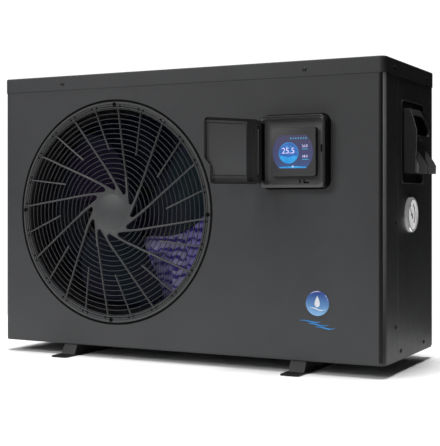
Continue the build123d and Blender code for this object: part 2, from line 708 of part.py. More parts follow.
gland_bore_r = 6.0
with BuildPart() as cable_gland:
    cylinder_y(gland_x, gland_z, rear_inner - 14, rear_y, gland_hole_r - 0.1)
    with BuildSketch(Plane((gland_x, rear_y, gland_z), (-1, 0, 0), (0, 1, 0))):
        RegularPolygon(17.0, 6)
    extrude(amount=8)
    cylinder_y(gland_x, gland_z, rear_y + 8, rear_y + 24, 13.0)
    fillet(cable_gland.faces().sort_by(Axis.Y)[-1].edges(), 4.0)
    cylinder_y(gland_x, gland_z, rear_inner - 15, rear_y + 25, gland_bore_r, Mode.SUBTRACT)
save("cable_gland", cable_gland.part)

# Controller: gasket, deep frame with hinge lugs, display module and its glass
gasket_t = 1.0
frame_y1 = front_y - gasket_t
frame_y0 = frame_y1 - box_proud
frame_floor = 4.0
frame_rim = 6.0
frame_r = 14.0
with BuildPart() as controller_gasket:
    with BuildSketch(Plane.XZ.offset(-front_y)):
        with Locations((box_x, box_z)):
            RectangleRounded(box_size + 2, box_size + 2, frame_r + 1)
            Rectangle(cutout, cutout, mode=Mode.SUBTRACT)
    extrude(amount=gasket_t)
save("controller_gasket", controller_gasket.part)

hinge_y = frame_y0 - 3.5
hinge_r = 3.5
pin_r = 1.5
pin_fit = 0.05
lug_h = 8.0
lug_centres = (box_z - 49.0, box_z + 49.0)
with BuildPart() as controller_frame:
    with BuildSketch(Plane.XZ.offset(-frame_y1)):
        with Locations((box_x, box_z)):
            RectangleRounded(box_size, box_size, frame_r)
    extrude(amount=box_proud)
    fillet(controller_frame.faces().sort_by(Axis.Y)[0].edges(), 2.0)
    with BuildSketch(Plane.XZ.offset(-frame_y0)):
        with Locations((box_x, box_z)):
            RectangleRounded(box_size - 2 * frame_rim, box_size - 2 * frame_rim, frame_r - 5)
    extrude(amount=frame_floor - box_proud, mode=Mode.SUBTRACT)
    for z in lug_centres:
        cylinder_z(hinge_x, hinge_y, z - lug_h / 2, z + lug_h / 2, hinge_r)
        block(hinge_x - hinge_r, hinge_x + hinge_r, hinge_y, frame_y0 + 2, z - lug_h / 2, z + lug_h / 2)
        cylinder_z(hinge_x, hinge_y, z - lug_h, z + lug_h, pin_r, Mode.SUBTRACT)
save("controller_frame", controller_frame.part)

module_w = 98.0
module_y1 = frame_y1 - frame_floor
module_y0 = module_y1 - 10.8
glass_t = 1.2
with BuildPart() as controller_module:
    with BuildSketch(Plane.XZ.offset(-module_y1)):
        with Locations((box_x + 1, box_z - 1)):
            RectangleRounded(module_w, module_w, 6.0)
    extrude(amount=module_y1 - module_y0)
save("controller_module", controller_module.part)

with BuildPart() as display_glass:
    with BuildSketch(Plane.XZ.offset(-module_y0)):
        with Locations((box_x + 1, box_z - 1)):
            RectangleRounded(module_w - 1, module_w - 1, 5.5)
    extrude(amount=glass_t)
save("display_glass", display_glass.part)

# Flip cover: a shallow tray, modelled on its own plane, which turns with the opening angle
cover_w = 130.0
cover_h = 130.0
cover_t = 12.0
cover_back = -3.0
cover_start = 5.0
cover_wall = 2.2
cover_corner_r = 5.0
cover_taper = 14.0
notch_w = 14.0
notch_z0 = -30.0
notch_z1 = -14.0
barrel_h = 9.6
barrel_gap = 0.2
swing = radians(-cover_open)
cover_along = (cos(swing), sin(swing), 0)
cover_out = (sin(swing), -cos(swing), 0)
cover_back_plane = Plane((hinge_x, hinge_y, box_z), cover_along, cover_out).offset(cover_back)


def cover_outline(inset):
    """Draw the stepped outline of the cover in the current sketch, pulled in by inset."""
    left = cover_start + inset
    right = cover_w - inset
    low = inset - cover_h / 2
    with BuildLine() as edge:
        Polyline((left, low), (right - notch_w, low), (right - notch_w, notch_z0), (right, notch_z1),
                 (right, -low), (left, -low), close=True)
    make_face(edge.edges())


with BuildPart() as flip_cover:
    with BuildSketch(cover_back_plane) as shape:
        cover_outline(0.0)
        fillet(shape.vertices(), cover_corner_r)
    extrude(amount=cover_t, taper=cover_taper)
    with BuildSketch(cover_back_plane) as hollow:
        cover_outline(cover_wall)
        fillet(hollow.vertices(), cover_corner_r - cover_wall)
    extrude(amount=cover_t - cover_wall, taper=cover_taper, mode=Mode.SUBTRACT)
    for z, side in zip(lug_centres, (-1, 1)):
        middle = z + side * (lug_h / 2 + barrel_gap + barrel_h / 2)
        cylinder_z(hinge_x, hinge_y, middle - barrel_h / 2, middle + barrel_h / 2, hinge_r)
        with BuildSketch(cover_back_plane):
            with Locations((cover_start / 2 + 1, middle - box_z)):
                Rectangle(cover_start + 2, barrel_h)
        extrude(amount=3.5)
        cylinder_z(hinge_x, hinge_y, middle - barrel_h, middle + barrel_h, pin_r + pin_fit, Mode.SUBTRACT)
save("flip_cover", flip_cover.part)

with BuildPart() as hinge_pins:
    for z, side in zip(lug_centres, (-1, 1)):
        inner_end = z - side * lug_h / 2
        cylinder_z(hinge_x, hinge_y, inner_end, inner_end + side * (lug_h + barrel_gap + barrel_h - 0.6), pin_r)
save("hinge_pins", hinge_pins.part)

# Pressure gauge in the right side panel
case_r = 30.5
flange_r = 35.0
bezel_r = 36.0
bezel_in_r = 31.5
dial_x = right_x + 2.0
dial_t = 0.8
needle_x = dial_x + dial_t + 0.8
needle_t = 0.8
lens_x = right_x + 5.6
lens_t = 1.4
bezel_x1 = right_x + 8.0
with BuildPart() as gauge_case:
    cylinder_x(gauge_y, gauge_z, right_x - 28, right_x, case_r)
    cylinder_x(gauge_y, gauge_z, right_x, dial_x, flange_r)
    cylinder_x(gauge_y, gauge_z, right_x - 40, right_x - 28, 6.5)
    cylinder_x(gauge_y, gauge_z, right_x - 26, right_x + 3, case_r - 2, Mode.SUBTRACT)
save("gauge_case", gauge_case.part)

with BuildPart() as gauge_bezel:
    with BuildSketch(Plane((0, gauge_y, gauge_z), (1, 0, 0), (0, -1, 0))):
        with BuildLine():
            Polyline((right_x, flange_r), (right_x, bezel_r), (bezel_x1 - 2, bezel_r), (bezel_x1, bezel_r - 2),
                     (bezel_x1, bezel_in_r - 1.5), (lens_x + lens_t, bezel_in_r - 1.5),
                     (lens_x + lens_t, bezel_in_r), (dial_x, bezel_in_r), (dial_x, flange_r), close=True)
        make_face()
    revolve(axis=Axis((0, gauge_y, gauge_z), (1, 0, 0)))
save("gauge_bezel", gauge_bezel.part)

pivot_r = 1.0
with BuildPart() as gauge_dial:
    cylinder_x(gauge_y, gauge_z, dial_x, dial_x + dial_t, bezel_in_r)
    cylinder_x(gauge_y, gauge_z, dial_x - 1, dial_x + dial_t + 1, pivot_r + pin_fit, Mode.SUBTRACT)
save("gauge_dial", gauge_dial.part)

needle_angle = 130.0
with BuildPart() as gauge_needle:
    with BuildSketch(Plane.YZ.offset(needle_x)):
        with Locations((gauge_y, gauge_z)):
            Circle(3.5)
        with Locations(Location((gauge_y, gauge_z, 0), (0, 0, needle_angle))):
            Polygon((-10, -1.8), (25, -0.5), (25, 0.5), (-10, 1.8), align=None)
    extrude(amount=needle_t)
    cylinder_x(gauge_y, gauge_z, dial_x, needle_x, pivot_r)
save("gauge_needle", gauge_needle.part)

with BuildPart() as gauge_lens:
    cylinder_x(gauge_y, gauge_z, lens_x, lens_x + lens_t, bezel_in_r)
save("gauge_lens", gauge_lens.part)

# Carrying handle: a hooded grip with two cheeks, a finger pocket and three lower fins
grip_z0 = 401.0
grip_z1 = 531.0
window_z0 = 479.0
window_z1 = 514.0
cheek_t = 4.0
skin = 2.5
body_out = 12.0
back_x = pocket_floor_x
fin_t = 13.0
hood_profile = ((26.5, grip_z0), (26.5, 448), (32.5, 453), (32, 484), (25, 510), (17, grip_z1))


def side_face(*points):
    """Draw a face on the current XZ sketch from distances out of the panel and heights."""
    with BuildLine() as edge:
        Polyline(*[(right_x + out, z) for out, z in points], close=True)
    make_face(edge.edges())


with BuildPart() as side_handle:
    block(back_x, back_x + skin, handle_y0, handle_y1, window_z0 - skin, grip_z1)
    for y in (handle_y0, handle_y1 - cheek_t):
        with BuildSketch(Plane.XZ.offset(-y)):
            side_face((-pocket_depth, grip_z0), *hood_profile, (-pocket_depth, grip_z1))
        extrude(amount=-cheek_t)
    with BuildSketch(Plane.XZ.offset(-handle_y0)):
        side_face((-pocket_depth, window_z1), (24, window_z1), (17, grip_z1), (-pocket_depth, grip_z1))
        side_face((-pocket_depth, window_z0 - skin), (8, window_z0 - skin), (body_out - skin, 466),
                  (body_out - skin, grip_z0), (body_out, grip_z0), (body_out, 468), (9, window_z0),
                  (-pocket_depth, window_z0))
    extrude(amount=handle_y0 - handle_y1)
    for y in (handle_y0 + cheek_t, (handle_y0 + handle_y1) / 2 - fin_t / 2, handle_y1 - cheek_t - fin_t):
        with BuildSketch(Plane.XZ.offset(-y)):
            side_face((body_out - 1, grip_z0), (33, grip_z0), (33, 418), (body_out, 450), (body_out - 1, 450))
        extrude(amount=-fin_t)
save("side_handle", side_handle.part)

# Round badge on the front panel
badge_x = 317.0
badge_z = 141.0
badge_r = 25.0
badge_t = 2.0
with BuildPart() as badge:
    cylinder_y(badge_x, badge_z, front_y - badge_t, front_y, badge_r)
    fillet(badge.faces().sort_by(Axis.Y)[0].edges(), 0.8)
save("badge", badge.part)


def screw_y(x, z, face_y, side, length=shank_len):
    """Add a pan-head screw along Y; side is -1 with its head in front and 1 with its head behind."""
    cylinder_y(x, z, face_y, face_y + side * screw_head_h, screw_head_r)
    cylinder_y(x, z, face_y - side * length, face_y, shank_r)


def screw_x(y, z, face_x, side, length=shank_len):
    """Add a pan-head screw along X; side is the sign of X on which its head lies."""
    cylinder_x(y, z, face_x, face_x + side * screw_head_h, screw_head_r)
    cylinder_x(y, z, face_x - side * length, face_x, shank_r)


# Screw groups
with BuildPart() as cover_screws:
    for x in skirt_front_x:
        screw_y(x, skirt_screw_z, skirt_y, -1)
    for x in skirt_rear_x:
        screw_y(x, skirt_screw_z, -skirt_y, 1)
    for y in skirt_side_y:
        screw_x(y, skirt_screw_z, skirt_x, 1)
        screw_x(y, skirt_screw_z, -skirt_x, -1)
save("cover_screws", cover_screws.part)

with BuildPart() as grille_screws:
    for angle in range(0, 360, 90):
        x = fan_x + grille_screw_r * cos(radians(angle - 1))
        z = fan_z + grille_screw_r * sin(radians(angle - 1))
        screw_y(x, z, grille_y0, -1, 13.0)
save("grille_screws", grille_screws.part)

with BuildPart() as side_panel_screws:
    for y, z in wrap_screws + side_screws:
        screw_x(y, z, right_x, 1)
save("side_panel_screws", side_panel_screws.part)

with BuildPart() as rear_panel_screws:
    for x, z in rear_screws + guard_screws:
        screw_y(x, z, rear_y, 1)
save("rear_panel_screws", rear_panel_screws.part)

bolt_r = 4.0
with BuildPart() as foot_bolts:
    for x in (-foot_x, foot_x):
        for y in (-foot_bolt_y, foot_bolt_y):
            with BuildSketch(Plane.XY.offset(floor_z)):
                with Locations((x, y)):
                    RegularPolygon(7.4, 6)
            extrude(amount=5.5)
            cylinder_z(x, y, casing_z0 - 9, floor_z, bolt_r)
save("foot_bolts", foot_bolts.part)
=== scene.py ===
import bpy
import math
from mathutils import Matrix, Vector


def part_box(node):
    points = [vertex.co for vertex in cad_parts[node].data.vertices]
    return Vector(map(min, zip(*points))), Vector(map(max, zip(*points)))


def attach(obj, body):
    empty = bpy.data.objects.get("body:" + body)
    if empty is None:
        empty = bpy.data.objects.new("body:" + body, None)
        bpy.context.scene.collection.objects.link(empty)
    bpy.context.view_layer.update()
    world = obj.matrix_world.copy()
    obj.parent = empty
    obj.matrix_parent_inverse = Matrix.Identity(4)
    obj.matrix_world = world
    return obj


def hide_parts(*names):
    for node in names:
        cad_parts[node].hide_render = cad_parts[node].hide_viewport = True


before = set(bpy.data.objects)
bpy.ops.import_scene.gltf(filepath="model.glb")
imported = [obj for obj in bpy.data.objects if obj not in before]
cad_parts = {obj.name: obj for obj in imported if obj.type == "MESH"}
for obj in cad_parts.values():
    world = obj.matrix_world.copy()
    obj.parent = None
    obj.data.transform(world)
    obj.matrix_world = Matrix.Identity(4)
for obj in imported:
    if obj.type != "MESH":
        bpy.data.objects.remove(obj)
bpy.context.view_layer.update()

# Front panel: one pressed steel sheet with a satin powder coat, folded round both front corners.
# It has a large round opening with a stepped seat for the fan grille, a square hole behind the
# controller, and a shallow swoosh pressed into its lower right corner.


def pick(*pieces):
    """Select only these pieces and make the last one active."""
    bpy.ops.object.select_all(action="DESELECT")
    for piece in pieces:
        piece.select_set(True)
    bpy.context.view_layer.objects.active = pieces[-1]


def settle(piece):
    """Leave the piece's place, turn and size in its mesh."""
    pick(piece)
    bpy.ops.object.transform_apply(location=True, rotation=True, scale=True)


def finish_with(piece, kind, **settings):
    """Add one modifier to the piece and apply it."""
    pick(piece)
    modifier = piece.modifiers.new(kind.title(), kind)
    for key, value in settings.items():
        setattr(modifier, key, value)
    bpy.ops.object.modifier_apply(modifier=modifier.name)


def merge_and_face_out(piece, distance=0.00001):
    """Merge doubled points and turn every face outwards."""
    pick(piece)
    bpy.ops.object.mode_set(mode="EDIT")
    bpy.ops.mesh.select_all(action="SELECT")
    bpy.ops.mesh.remove_doubles(threshold=distance)
    bpy.ops.mesh.normals_make_consistent(inside=False)
    bpy.ops.object.mode_set(mode="OBJECT")


def smooth(piece, angle=35.0):
    """Shade smooth, except across edges sharper than the angle in degrees."""
    pick(piece)
    bpy.ops.object.shade_smooth_by_angle(angle=math.radians(angle))


def join(*pieces):
    """Join the pieces into the last one."""
    pick(*pieces)
    bpy.ops.object.join()
    return pieces[-1]


def build(name, points, edges, faces):
    """A new piece from points joined by edges or faces."""
    mesh = bpy.data.meshes.new(name)
    mesh.from_pydata(points, edges, faces)
    piece = bpy.data.objects.new(name, mesh)
    bpy.context.scene.collection.objects.link(piece)
    return piece


def lathe(name, profile, centre, along, steps=96):
    """Spin a closed profile of (radius, distance along the axis) points about an axis through centre."""
    along = Vector(along).normalized()
    out = along.orthogonal().normalized()
    points = [Vector(centre) + out * radius + along * distance for radius, distance in profile]
    piece = build(name, points, [(i, (i + 1) % len(points)) for i in range(len(points))], [])
    pick(piece)
    bpy.ops.object.mode_set(mode="EDIT")
    bpy.ops.mesh.select_all(action="SELECT")
    bpy.ops.mesh.spin(steps=steps, angle=2 * math.pi, center=centre, axis=along)
    bpy.ops.object.mode_set(mode="OBJECT")
    merge_and_face_out(piece)
    return piece


def material(name, colour, roughness, metallic=0.0):
    """Start a node material and return it with its nodes, links and main shader."""
    finish = bpy.data.materials.new(name)
    finish.use_nodes = True
    nodes = finish.node_tree.nodes
    shader = nodes["Principled BSDF"]
    shader.inputs["Base Color"].default_value = (*colour, 1.0)
    shader.inputs["Roughness"].default_value = roughness
    shader.inputs["Metallic"].default_value = metallic
    return finish, nodes, finish.node_tree.links, shader


def mottle(nodes, links, socket, low, high, scale, detail=3.0):
    """Drive a socket with soft noise between two values or colours."""
    place = nodes.new("ShaderNodeTexCoord")
    noise = nodes.new("ShaderNodeTexNoise")
    noise.inputs["Scale"].default_value = scale
    noise.inputs["Detail"].default_value = detail
    links.new(place.outputs["Object"], noise.inputs["Vector"])
    ramp = nodes.new("ShaderNodeValToRGB")
    ramp.color_ramp.elements[0].position = 0.3
    ramp.color_ramp.elements[1].position = 0.7
    for element, value in zip(ramp.color_ramp.elements, (low, high)):
        element.color = (*value, 1.0) if isinstance(value, tuple) else (value, value, value, 1.0)
    links.new(noise.outputs["Fac"], ramp.inputs["Fac"])
    links.new(ramp.outputs["Color"], socket)


def grain(nodes, links, shader, scale, strength, distance=0.0003):
    """Give the shader a fine moulded or sprayed grain."""
    place = nodes.new("ShaderNodeTexCoord")
    noise = nodes.new("ShaderNodeTexNoise")
    noise.inputs["Scale"].default_value = scale
    noise.inputs["Detail"].default_value = 2.0
    links.new(place.outputs["Object"], noise.inputs["Vector"])
    bump = nodes.new("ShaderNodeBump")
    bump.inputs["Strength"].default_value = strength
    bump.inputs["Distance"].default_value = distance
    links.new(noise.outputs["Fac"], bump.inputs["Height"])
    links.new(bump.outputs["Normal"], shader.inputs["Normal"])


def powder_coat(name, colour, roughness):
    """Sprayed and baked polyester coat with a fine orange-peel surface."""
    finish, nodes, links, shader = material(name, colour, roughness)
    shader.inputs["Specular IOR Level"].default_value = 0.22
    dark = tuple(0.93 * c for c in colour)
    light = tuple(1.07 * c for c in colour)
    mottle(nodes, links, shader.inputs["Base Color"], dark, light, 5.0)
    mottle(nodes, links, shader.inputs["Roughness"], roughness - 0.03, roughness + 0.04, 40.0)
    grain(nodes, links, shader, 700.0, 0.10)
    return finish


casing_coat = powder_coat("casing_coat", (0.052, 0.053, 0.055), 0.42)

panel_lo, panel_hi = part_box("front_panel")
front_y = panel_lo.y
corner = 0.012
flat_half = panel_hi.x - corner
arc_run = corner * math.pi / 2
left_return = 0.0125
right_return = 0.0705
sheet = 0.0012
relief_x0 = 0.195
relief_z0 = 0.045
relief_z1 = 0.320


def spread(stops):
    """Positions along one direction of the sheet, from (start, end, cells) stretches."""
    places = [stops[0][0]]
    for start, end, cells in stops:
        places += [start + (end - start) * (i + 1) / cells for i in range(cells)]
    return places


along_sheet = spread([
    (-flat_half - arc_run - left_return, -flat_half - arc_run, 2),
    (-flat_half - arc_run, -flat_half, 8),
    (-flat_half, relief_x0, 40),
    (relief_x0, flat_half, 96),
    (flat_half, flat_half + arc_run, 8),
    (flat_half + arc_run, flat_half + arc_run + right_return, 6),
])
up_sheet = spread([
    (panel_lo.z, relief_z0, 4),
    (relief_z0, relief_z1, 96),
    (relief_z1, panel_hi.z, 24),
])


def fold(run):
    """Where a distance along the unrolled sheet lies in plan once both corners are bent."""
    side = 1 if run > 0 else -1
    past = abs(run) - flat_half
    if past <= 0:
        return run, front_y
    if past <= arc_run:
        turn = past / corner
        return side * (flat_half + corner * math.sin(turn)), front_y + corner * (1 - math.cos(turn))
    return side * (flat_half + corner), front_y + corner + past - arc_run


def curve_through(stations, value):
    """Smooth curve through (position, value) stations, flat slopes at its ends."""
    for index in range(len(stations) - 1):
        (a, fa), (b, fb) = stations[index], stations[index + 1]
        if value <= b or index == len(stations) - 2:
            before = stations[index - 1] if index else stations[index]
            after = stations[index + 2] if index + 2 < len(stations) else stations[index + 1]
            slope_a = (fb - before[1]) / (b - before[0])
            slope_b = (after[1] - fa) / (after[0] - a)
            t = min(max((value - a) / (b - a), 0.0), 1.0)
            h = b - a
            return ((2 * t**3 - 3 * t**2 + 1) * fa + (t**3 - 2 * t**2 + t) * h * slope_a
                    + (3 * t**2 - 2 * t**3) * fb + (t**3 - t**2) * h * slope_b)
    return stations[-1][1]


swoosh_left = [(0.057, 0.199), (0.083, 0.219), (0.128, 0.252), (0.186, 0.277),
               (0.241, 0.308), (0.286, 0.356), (0.308, 0.398)]
swoosh_right = [(0.057, 0.337), (0.070, 0.356), (0.098, 0.373), (0.123, 0.389), (0.170, 0.438), (0.200, 0.475)]
swoosh_depth = 0.0052


def pressed(x, z):
    """How deep the swoosh is pressed at a point of the front face."""
    if not (swoosh_left[0][0] < z < swoosh_left[-1][0]):
        return 0.0
    left = (x - curve_through(swoosh_left, z)) * 0.8
    right = (curve_through(swoosh_right, z) - x) * 0.75
    low = z - swoosh_left[0][0]
    if left <= 0 or right <= 0:
        return 0.0
    wall = 1 - math.exp(-left / 0.011)
    rise = (1 - math.exp(-min(right, 0.2) / 0.040)) * (1 - math.exp(-low / 0.030))
    fade_top = min(1.0, (swoosh_left[-1][0] - z) / 0.085)
    fade_side = min(1.0, max(0.0, (flat_half - x) / 0.10))
    return swoosh_depth * wall * rise * fade_top * fade_side


bpy.ops.object.select_all(action="DESELECT")
bpy.ops.mesh.primitive_grid_add(x_subdivisions=len(along_sheet) - 1, y_subdivisions=len(up_sheet) - 1, size=1)
front_panel = bpy.context.object
front_panel.name = "front_panel_sheet"
for vertex in front_panel.data.vertices:
    column = round((vertex.co.x + 0.5) * (len(along_sheet) - 1))
    row = round((vertex.co.y + 0.5) * (len(up_sheet) - 1))
    x, y = fold(along_sheet[column])
    z = up_sheet[row]
    vertex.co = (x, y + pressed(x, z), z)
finish_with(front_panel, "SOLIDIFY", thickness=sheet, offset=-1.0)

grille_lo, grille_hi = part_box("fan_grille")
fan_centre = Vector(((grille_lo.x + grille_hi.x) / 2, front_y, (grille_lo.z + grille_hi.z) / 2))
seat_r = (grille_hi.x - grille_lo.x) / 2 + 0.002
seat_depth = 0.008
seat_inner_r = 0.226


def cut(piece, cutter):
    """Cut one piece with another and throw the cutter away."""
    finish_with(piece, "BOOLEAN", operation="DIFFERENCE", object=cutter, solver="EXACT")
    bpy.data.objects.remove(cutter)


bpy.ops.mesh.primitive_cylinder_add(vertices=192, radius=seat_r, depth=0.03, location=fan_centre,
                                    rotation=(math.pi / 2, 0, 0))
cut(front_panel, bpy.context.object)
frame_lo, frame_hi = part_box("controller_gasket")
box_centre = Vector(((frame_lo.x + frame_hi.x) / 2, front_y, (frame_lo.z + frame_hi.z) / 2))
bpy.ops.mesh.primitive_cube_add(size=0.104, location=box_centre)
cut(front_panel, bpy.context.object)
lip = 0.0008
seat = lathe("grille_seat", [
    (seat_r, 0.0), (seat_r - lip, lip), (seat_r - lip, seat_depth), (seat_inner_r, seat_depth),
    (seat_inner_r, seat_depth + sheet), (seat_r + sheet, seat_depth + sheet), (seat_r + sheet, sheet * 0.5),
], fan_centre, (0, 1, 0), 192)
front_panel = join(seat, front_panel)
smooth(front_panel, 24)
front_panel.data.materials.append(casing_coat)
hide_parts("front_panel")
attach(front_panel, "cabinet")

# Front right corner: a thin cover strip follows the bend and carries painted reflections. Its front half is black
# as a painted dark reflection, and its side half is a satin coat painted brighter towards the top as a painted
# highlight. Both lie in the panel's fold.

def band_blend(nodes, links, socket, source, low, high, *shades):
    """Drive a socket with shades at given places, as source goes from low to high."""
    spans = nodes.new("ShaderNodeMapRange")
    spans.inputs["From Min"].default_value = low
    spans.inputs["From Max"].default_value = high
    ramp = nodes.new("ShaderNodeValToRGB")
    stops = ramp.color_ramp.elements
    for at, shade in shades[1:-1]:
        stops.new(at)
    for stop, (at, shade) in zip(stops, shades):
        stop.position = at
        stop.color = (*shade, 1)
    links.new(source, spans.inputs["Value"])
    links.new(spans.outputs["Result"], ramp.inputs["Fac"])
    links.new(ramp.outputs["Color"], socket)


def height_blend(nodes, links, socket, low, high, *shades):
    """Drive a socket with shades that change with height, from low to high."""
    place = nodes.new("ShaderNodeTexCoord")
    split = nodes.new("ShaderNodeSeparateXYZ")
    links.new(place.outputs["Object"], split.inputs["Vector"])
    band_blend(nodes, links, socket, split.outputs["Z"], low, high, *shades)


# Painted reflections for the corner: black for the dark band, and a grey that grows lighter with height for the
# highlight.
painted_dark_reflection = powder_coat("painted_dark_reflection", (0.0075, 0.0075, 0.008), 0.40)
painted_bend_highlight, nodes, links, shader = material("painted_bend_highlight", (0.1, 0.1, 0.1), 0.40)
height_blend(nodes, links, shader.inputs["Base Color"], 0.06, 0.50,
             (0, (0.014, 0.014, 0.015)), (1, (0.32, 0.32, 0.33)))
mottle(nodes, links, shader.inputs["Roughness"], 0.36, 0.46, 40.0)
strip_z = (panel_lo.z + 0.004, 0.5925)
strip_steps = 6
strip_lift = 0.0002
for name, first, last, reflection_paint in (("corner_dark_reflection", 0, 37, painted_dark_reflection), ("corner_bend_highlight", 37, 80, painted_bend_highlight)):
    strip_points = []
    for z in strip_z:
        for step in range(strip_steps + 1):
            turn = math.radians(first + (last - first) * step / strip_steps)
            strip_points.append((flat_half + (corner + strip_lift) * math.sin(turn),
                                 front_y + corner - (corner + strip_lift) * math.cos(turn), z))
    strip = build(name, strip_points, [], [(i, i + 1, i + strip_steps + 2, i + strip_steps + 1)
                                           for i in range(strip_steps)])
    finish_with(strip, "SOLIDIFY", thickness=0.0004, offset=0.0)
    merge_and_face_out(strip)
    smooth(strip, 40)
    strip.data.materials.append(reflection_paint)
    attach(strip, "cabinet")

# Top cover, side panel, rear panel and corner post: folded steel with the same coat as the front.
# The cover's skirt laps over the panels; the side panel has a pressed pocket for the handle.
# They keep their drawn shapes.

def coat(finish, *names):
    """Give drawn nodes one finish."""
    for name in names:
        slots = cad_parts[name].data.materials
        slots.clear()
        slots.append(finish)


coat(casing_coat, "top_cover", "right_side_panel", "rear_panel", "corner_post", "base_pan")

# Feet: two pressed steel rails in black coat, with flat slotted tabs in front and behind.
foot_coat = powder_coat("foot_coat", (0.012, 0.012, 0.013), 0.38)
coat(foot_coat, "foot_left", "foot_right")

# Fan grille: one slightly domed moulding of tough plastic. A plain hub disc, sixteen thin hoops and
# twelve long and twelve short swept ribs stand inside a flange that four screws hold in the
# panel's seat. A black ring in the gap between the flange and the seat is painted shade.


def surface(name, colour, roughness, metallic=0.0, specular=0.5, tint=None, wear=None, grit=None):
    """A plain finish, softly uneven in colour (tint) and roughness (wear), with a grain (grit)."""
    finish, nodes, links, shader = material(name, colour, roughness, metallic)
    shader.inputs["Specular IOR Level"].default_value = specular
    if tint:
        mottle(nodes, links, shader.inputs["Base Color"], *tint)
    if wear:
        mottle(nodes, links, shader.inputs["Roughness"], *wear)
    if grit:
        grain(nodes, links, shader, *grit)
    return finish


grille_plastic = surface("grille_plastic", (0.055, 0.056, 0.058), 0.50, specular=0.35, wear=(0.46, 0.56, 60.0),
                         grit=(900.0, 0.08))
# Black for the grille's screws, and for painted shade: the ring in the seat gap, slot marks, outlines and walls
# where only shade falls.
black_and_painted_shade = surface("black_and_painted_shade", (0.003, 0.003, 0.003), 0.85, specular=0.1, wear=(0.8, 0.95, 80.0))

face = -0.0005
flange_r = seat_r - 0.0038
flange_in = 0.2278
flange = lathe("grille_flange", [
    (flange_r, 0.0010), (flange_r - 0.0005, 0.0001), (flange_r - 0.0012, face), (0.2372, face),
    (0.2366, 0.0002), (0.2364, 0.0014), (0.2352, 0.0014), (0.2350, 0.0002), (0.2344, face),
    (0.2328, face), (0.2322, 0.0002), (0.2320, 0.0052), (0.2306, 0.0052), (0.2304, 0.0002), (0.2299, face),
    (0.2284, face), (flange_in, 0.0004), (flange_in, 0.0064), (flange_r, 0.0076),
], fan_centre, (0, 1, 0), 192)
# A black ring filling the gap between the flange and the seat: painted shade.
seat_gap_shade = lathe("grille_seat_gap_shade", [
    (seat_r + 0.0006, -0.0002), (flange_r - 0.0002, -0.0002), (flange_r - 0.0002, 0.0070),
    (seat_r - 0.0010, 0.0070), (seat_r - 0.0010, 0.0002), (seat_r + 0.0006, 0.0),
], fan_centre, (0, 1, 0), 144)
smooth(seat_gap_shade)
seat_gap_shade.data.materials.append(black_and_painted_shade)
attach(seat_gap_shade, "cabinet")

star_r = 0.084
hub = lathe("grille_hub", [
    (0.0, face), (0.0390, face), (0.0394, -0.0002), (0.0398, face), (star_r, face),
    (star_r, 0.0056), (0.0, 0.0056),
], fan_centre, (0, 1, 0), 144)


def around_fan(piece, angle):
    """Turn a mesh about the fan axis, anticlockwise seen from the front."""
    turn = Matrix.Rotation(-angle, 4, "Y")
    piece.data.transform(Matrix.Translation(fan_centre) @ turn @ Matrix.Translation(-fan_centre))


def twin(piece, name):
    """Copy a piece with a mesh of its own."""
    other = piece.copy()
    other.data = piece.data.copy()
    other.name = name
    bpy.context.scene.collection.objects.link(other)
    return other


def plate(name, outline, place, thickness, finish=None):
    """A thin plate from a flat outline, laid by place(u, v) and thickened both ways."""
    piece = build(name, [place(u, v) for u, v in outline], [], [tuple(range(len(outline)))])
    finish_with(piece, "SOLIDIFY", thickness=thickness, offset=0.0)
    merge_and_face_out(piece, 0.0000001)
    if finish:
        piece.data.materials.append(finish)
    return piece


rib_half_w = 0.0023
rib_tip_r = 0.2292


def rib_line(x):
    """Height of the first rib's centre line: level by the hub, then sloping up to its tip."""
    past = x - 0.056
    return -0.0396 + 0.155 * (math.sqrt(past * past + 0.0001) + past) / 2


gap_at = Vector((0.0424, -0.0318))
gap_r = 0.0048
gap_shape = []
for step in range(13):
    angle = math.radians(-90 - 138 * step / 12)
    gap_shape.append((gap_at.x + gap_r * math.cos(angle), gap_at.y + gap_r * math.sin(angle)))
gap_shape += [(0.0840, 0.0031), (0.0960, 0.0080)]
gap_shape += [(0.0960 - 0.052 * i / 12, rib_line(0.0960 - 0.052 * i / 12) + rib_half_w) for i in range(13)]
for index in range(12):
    gap = plate("gap", gap_shape, lambda u, v: fan_centre + Vector((u, 0, v)), 0.05)
    around_fan(gap, math.radians(30 * index))
    cut(hub, gap)


def rib(name, start, width, depth):
    """One swept rib: a rounded bar along rib_line, thinner at its tip."""
    bpy.ops.object.select_all(action="DESELECT")
    bpy.ops.mesh.primitive_cylinder_add(vertices=10, radius=0.5, depth=1.0, end_fill_type="TRIFAN",
                                        rotation=(0, math.pi / 2, 0))
    bar = bpy.context.object
    bar.name = name
    settle(bar)
    bpy.ops.object.mode_set(mode="EDIT")
    bpy.ops.mesh.select_mode(type="EDGE")
    bpy.ops.mesh.select_all(action="DESELECT")
    bpy.ops.object.mode_set(mode="OBJECT")
    for edge in bar.data.edges:
        a, b = (bar.data.vertices[i].co for i in edge.vertices)
        edge.select = abs(a.x - b.x) > 0.9
    bpy.ops.object.mode_set(mode="EDIT")
    bpy.ops.mesh.subdivide(number_cuts=13)
    bpy.ops.object.mode_set(mode="OBJECT")
    tip_x = 0.2288
    for vertex in bar.data.vertices:
        t = vertex.co.x + 0.5
        x = start + (tip_x - start) * t
        across = vertex.co.z * width * (1.0 - 0.24 * t)
        vertex.co = fan_centre + Vector((x, face + depth * (0.5 + vertex.co.y), rib_line(x) + across))
    return bar


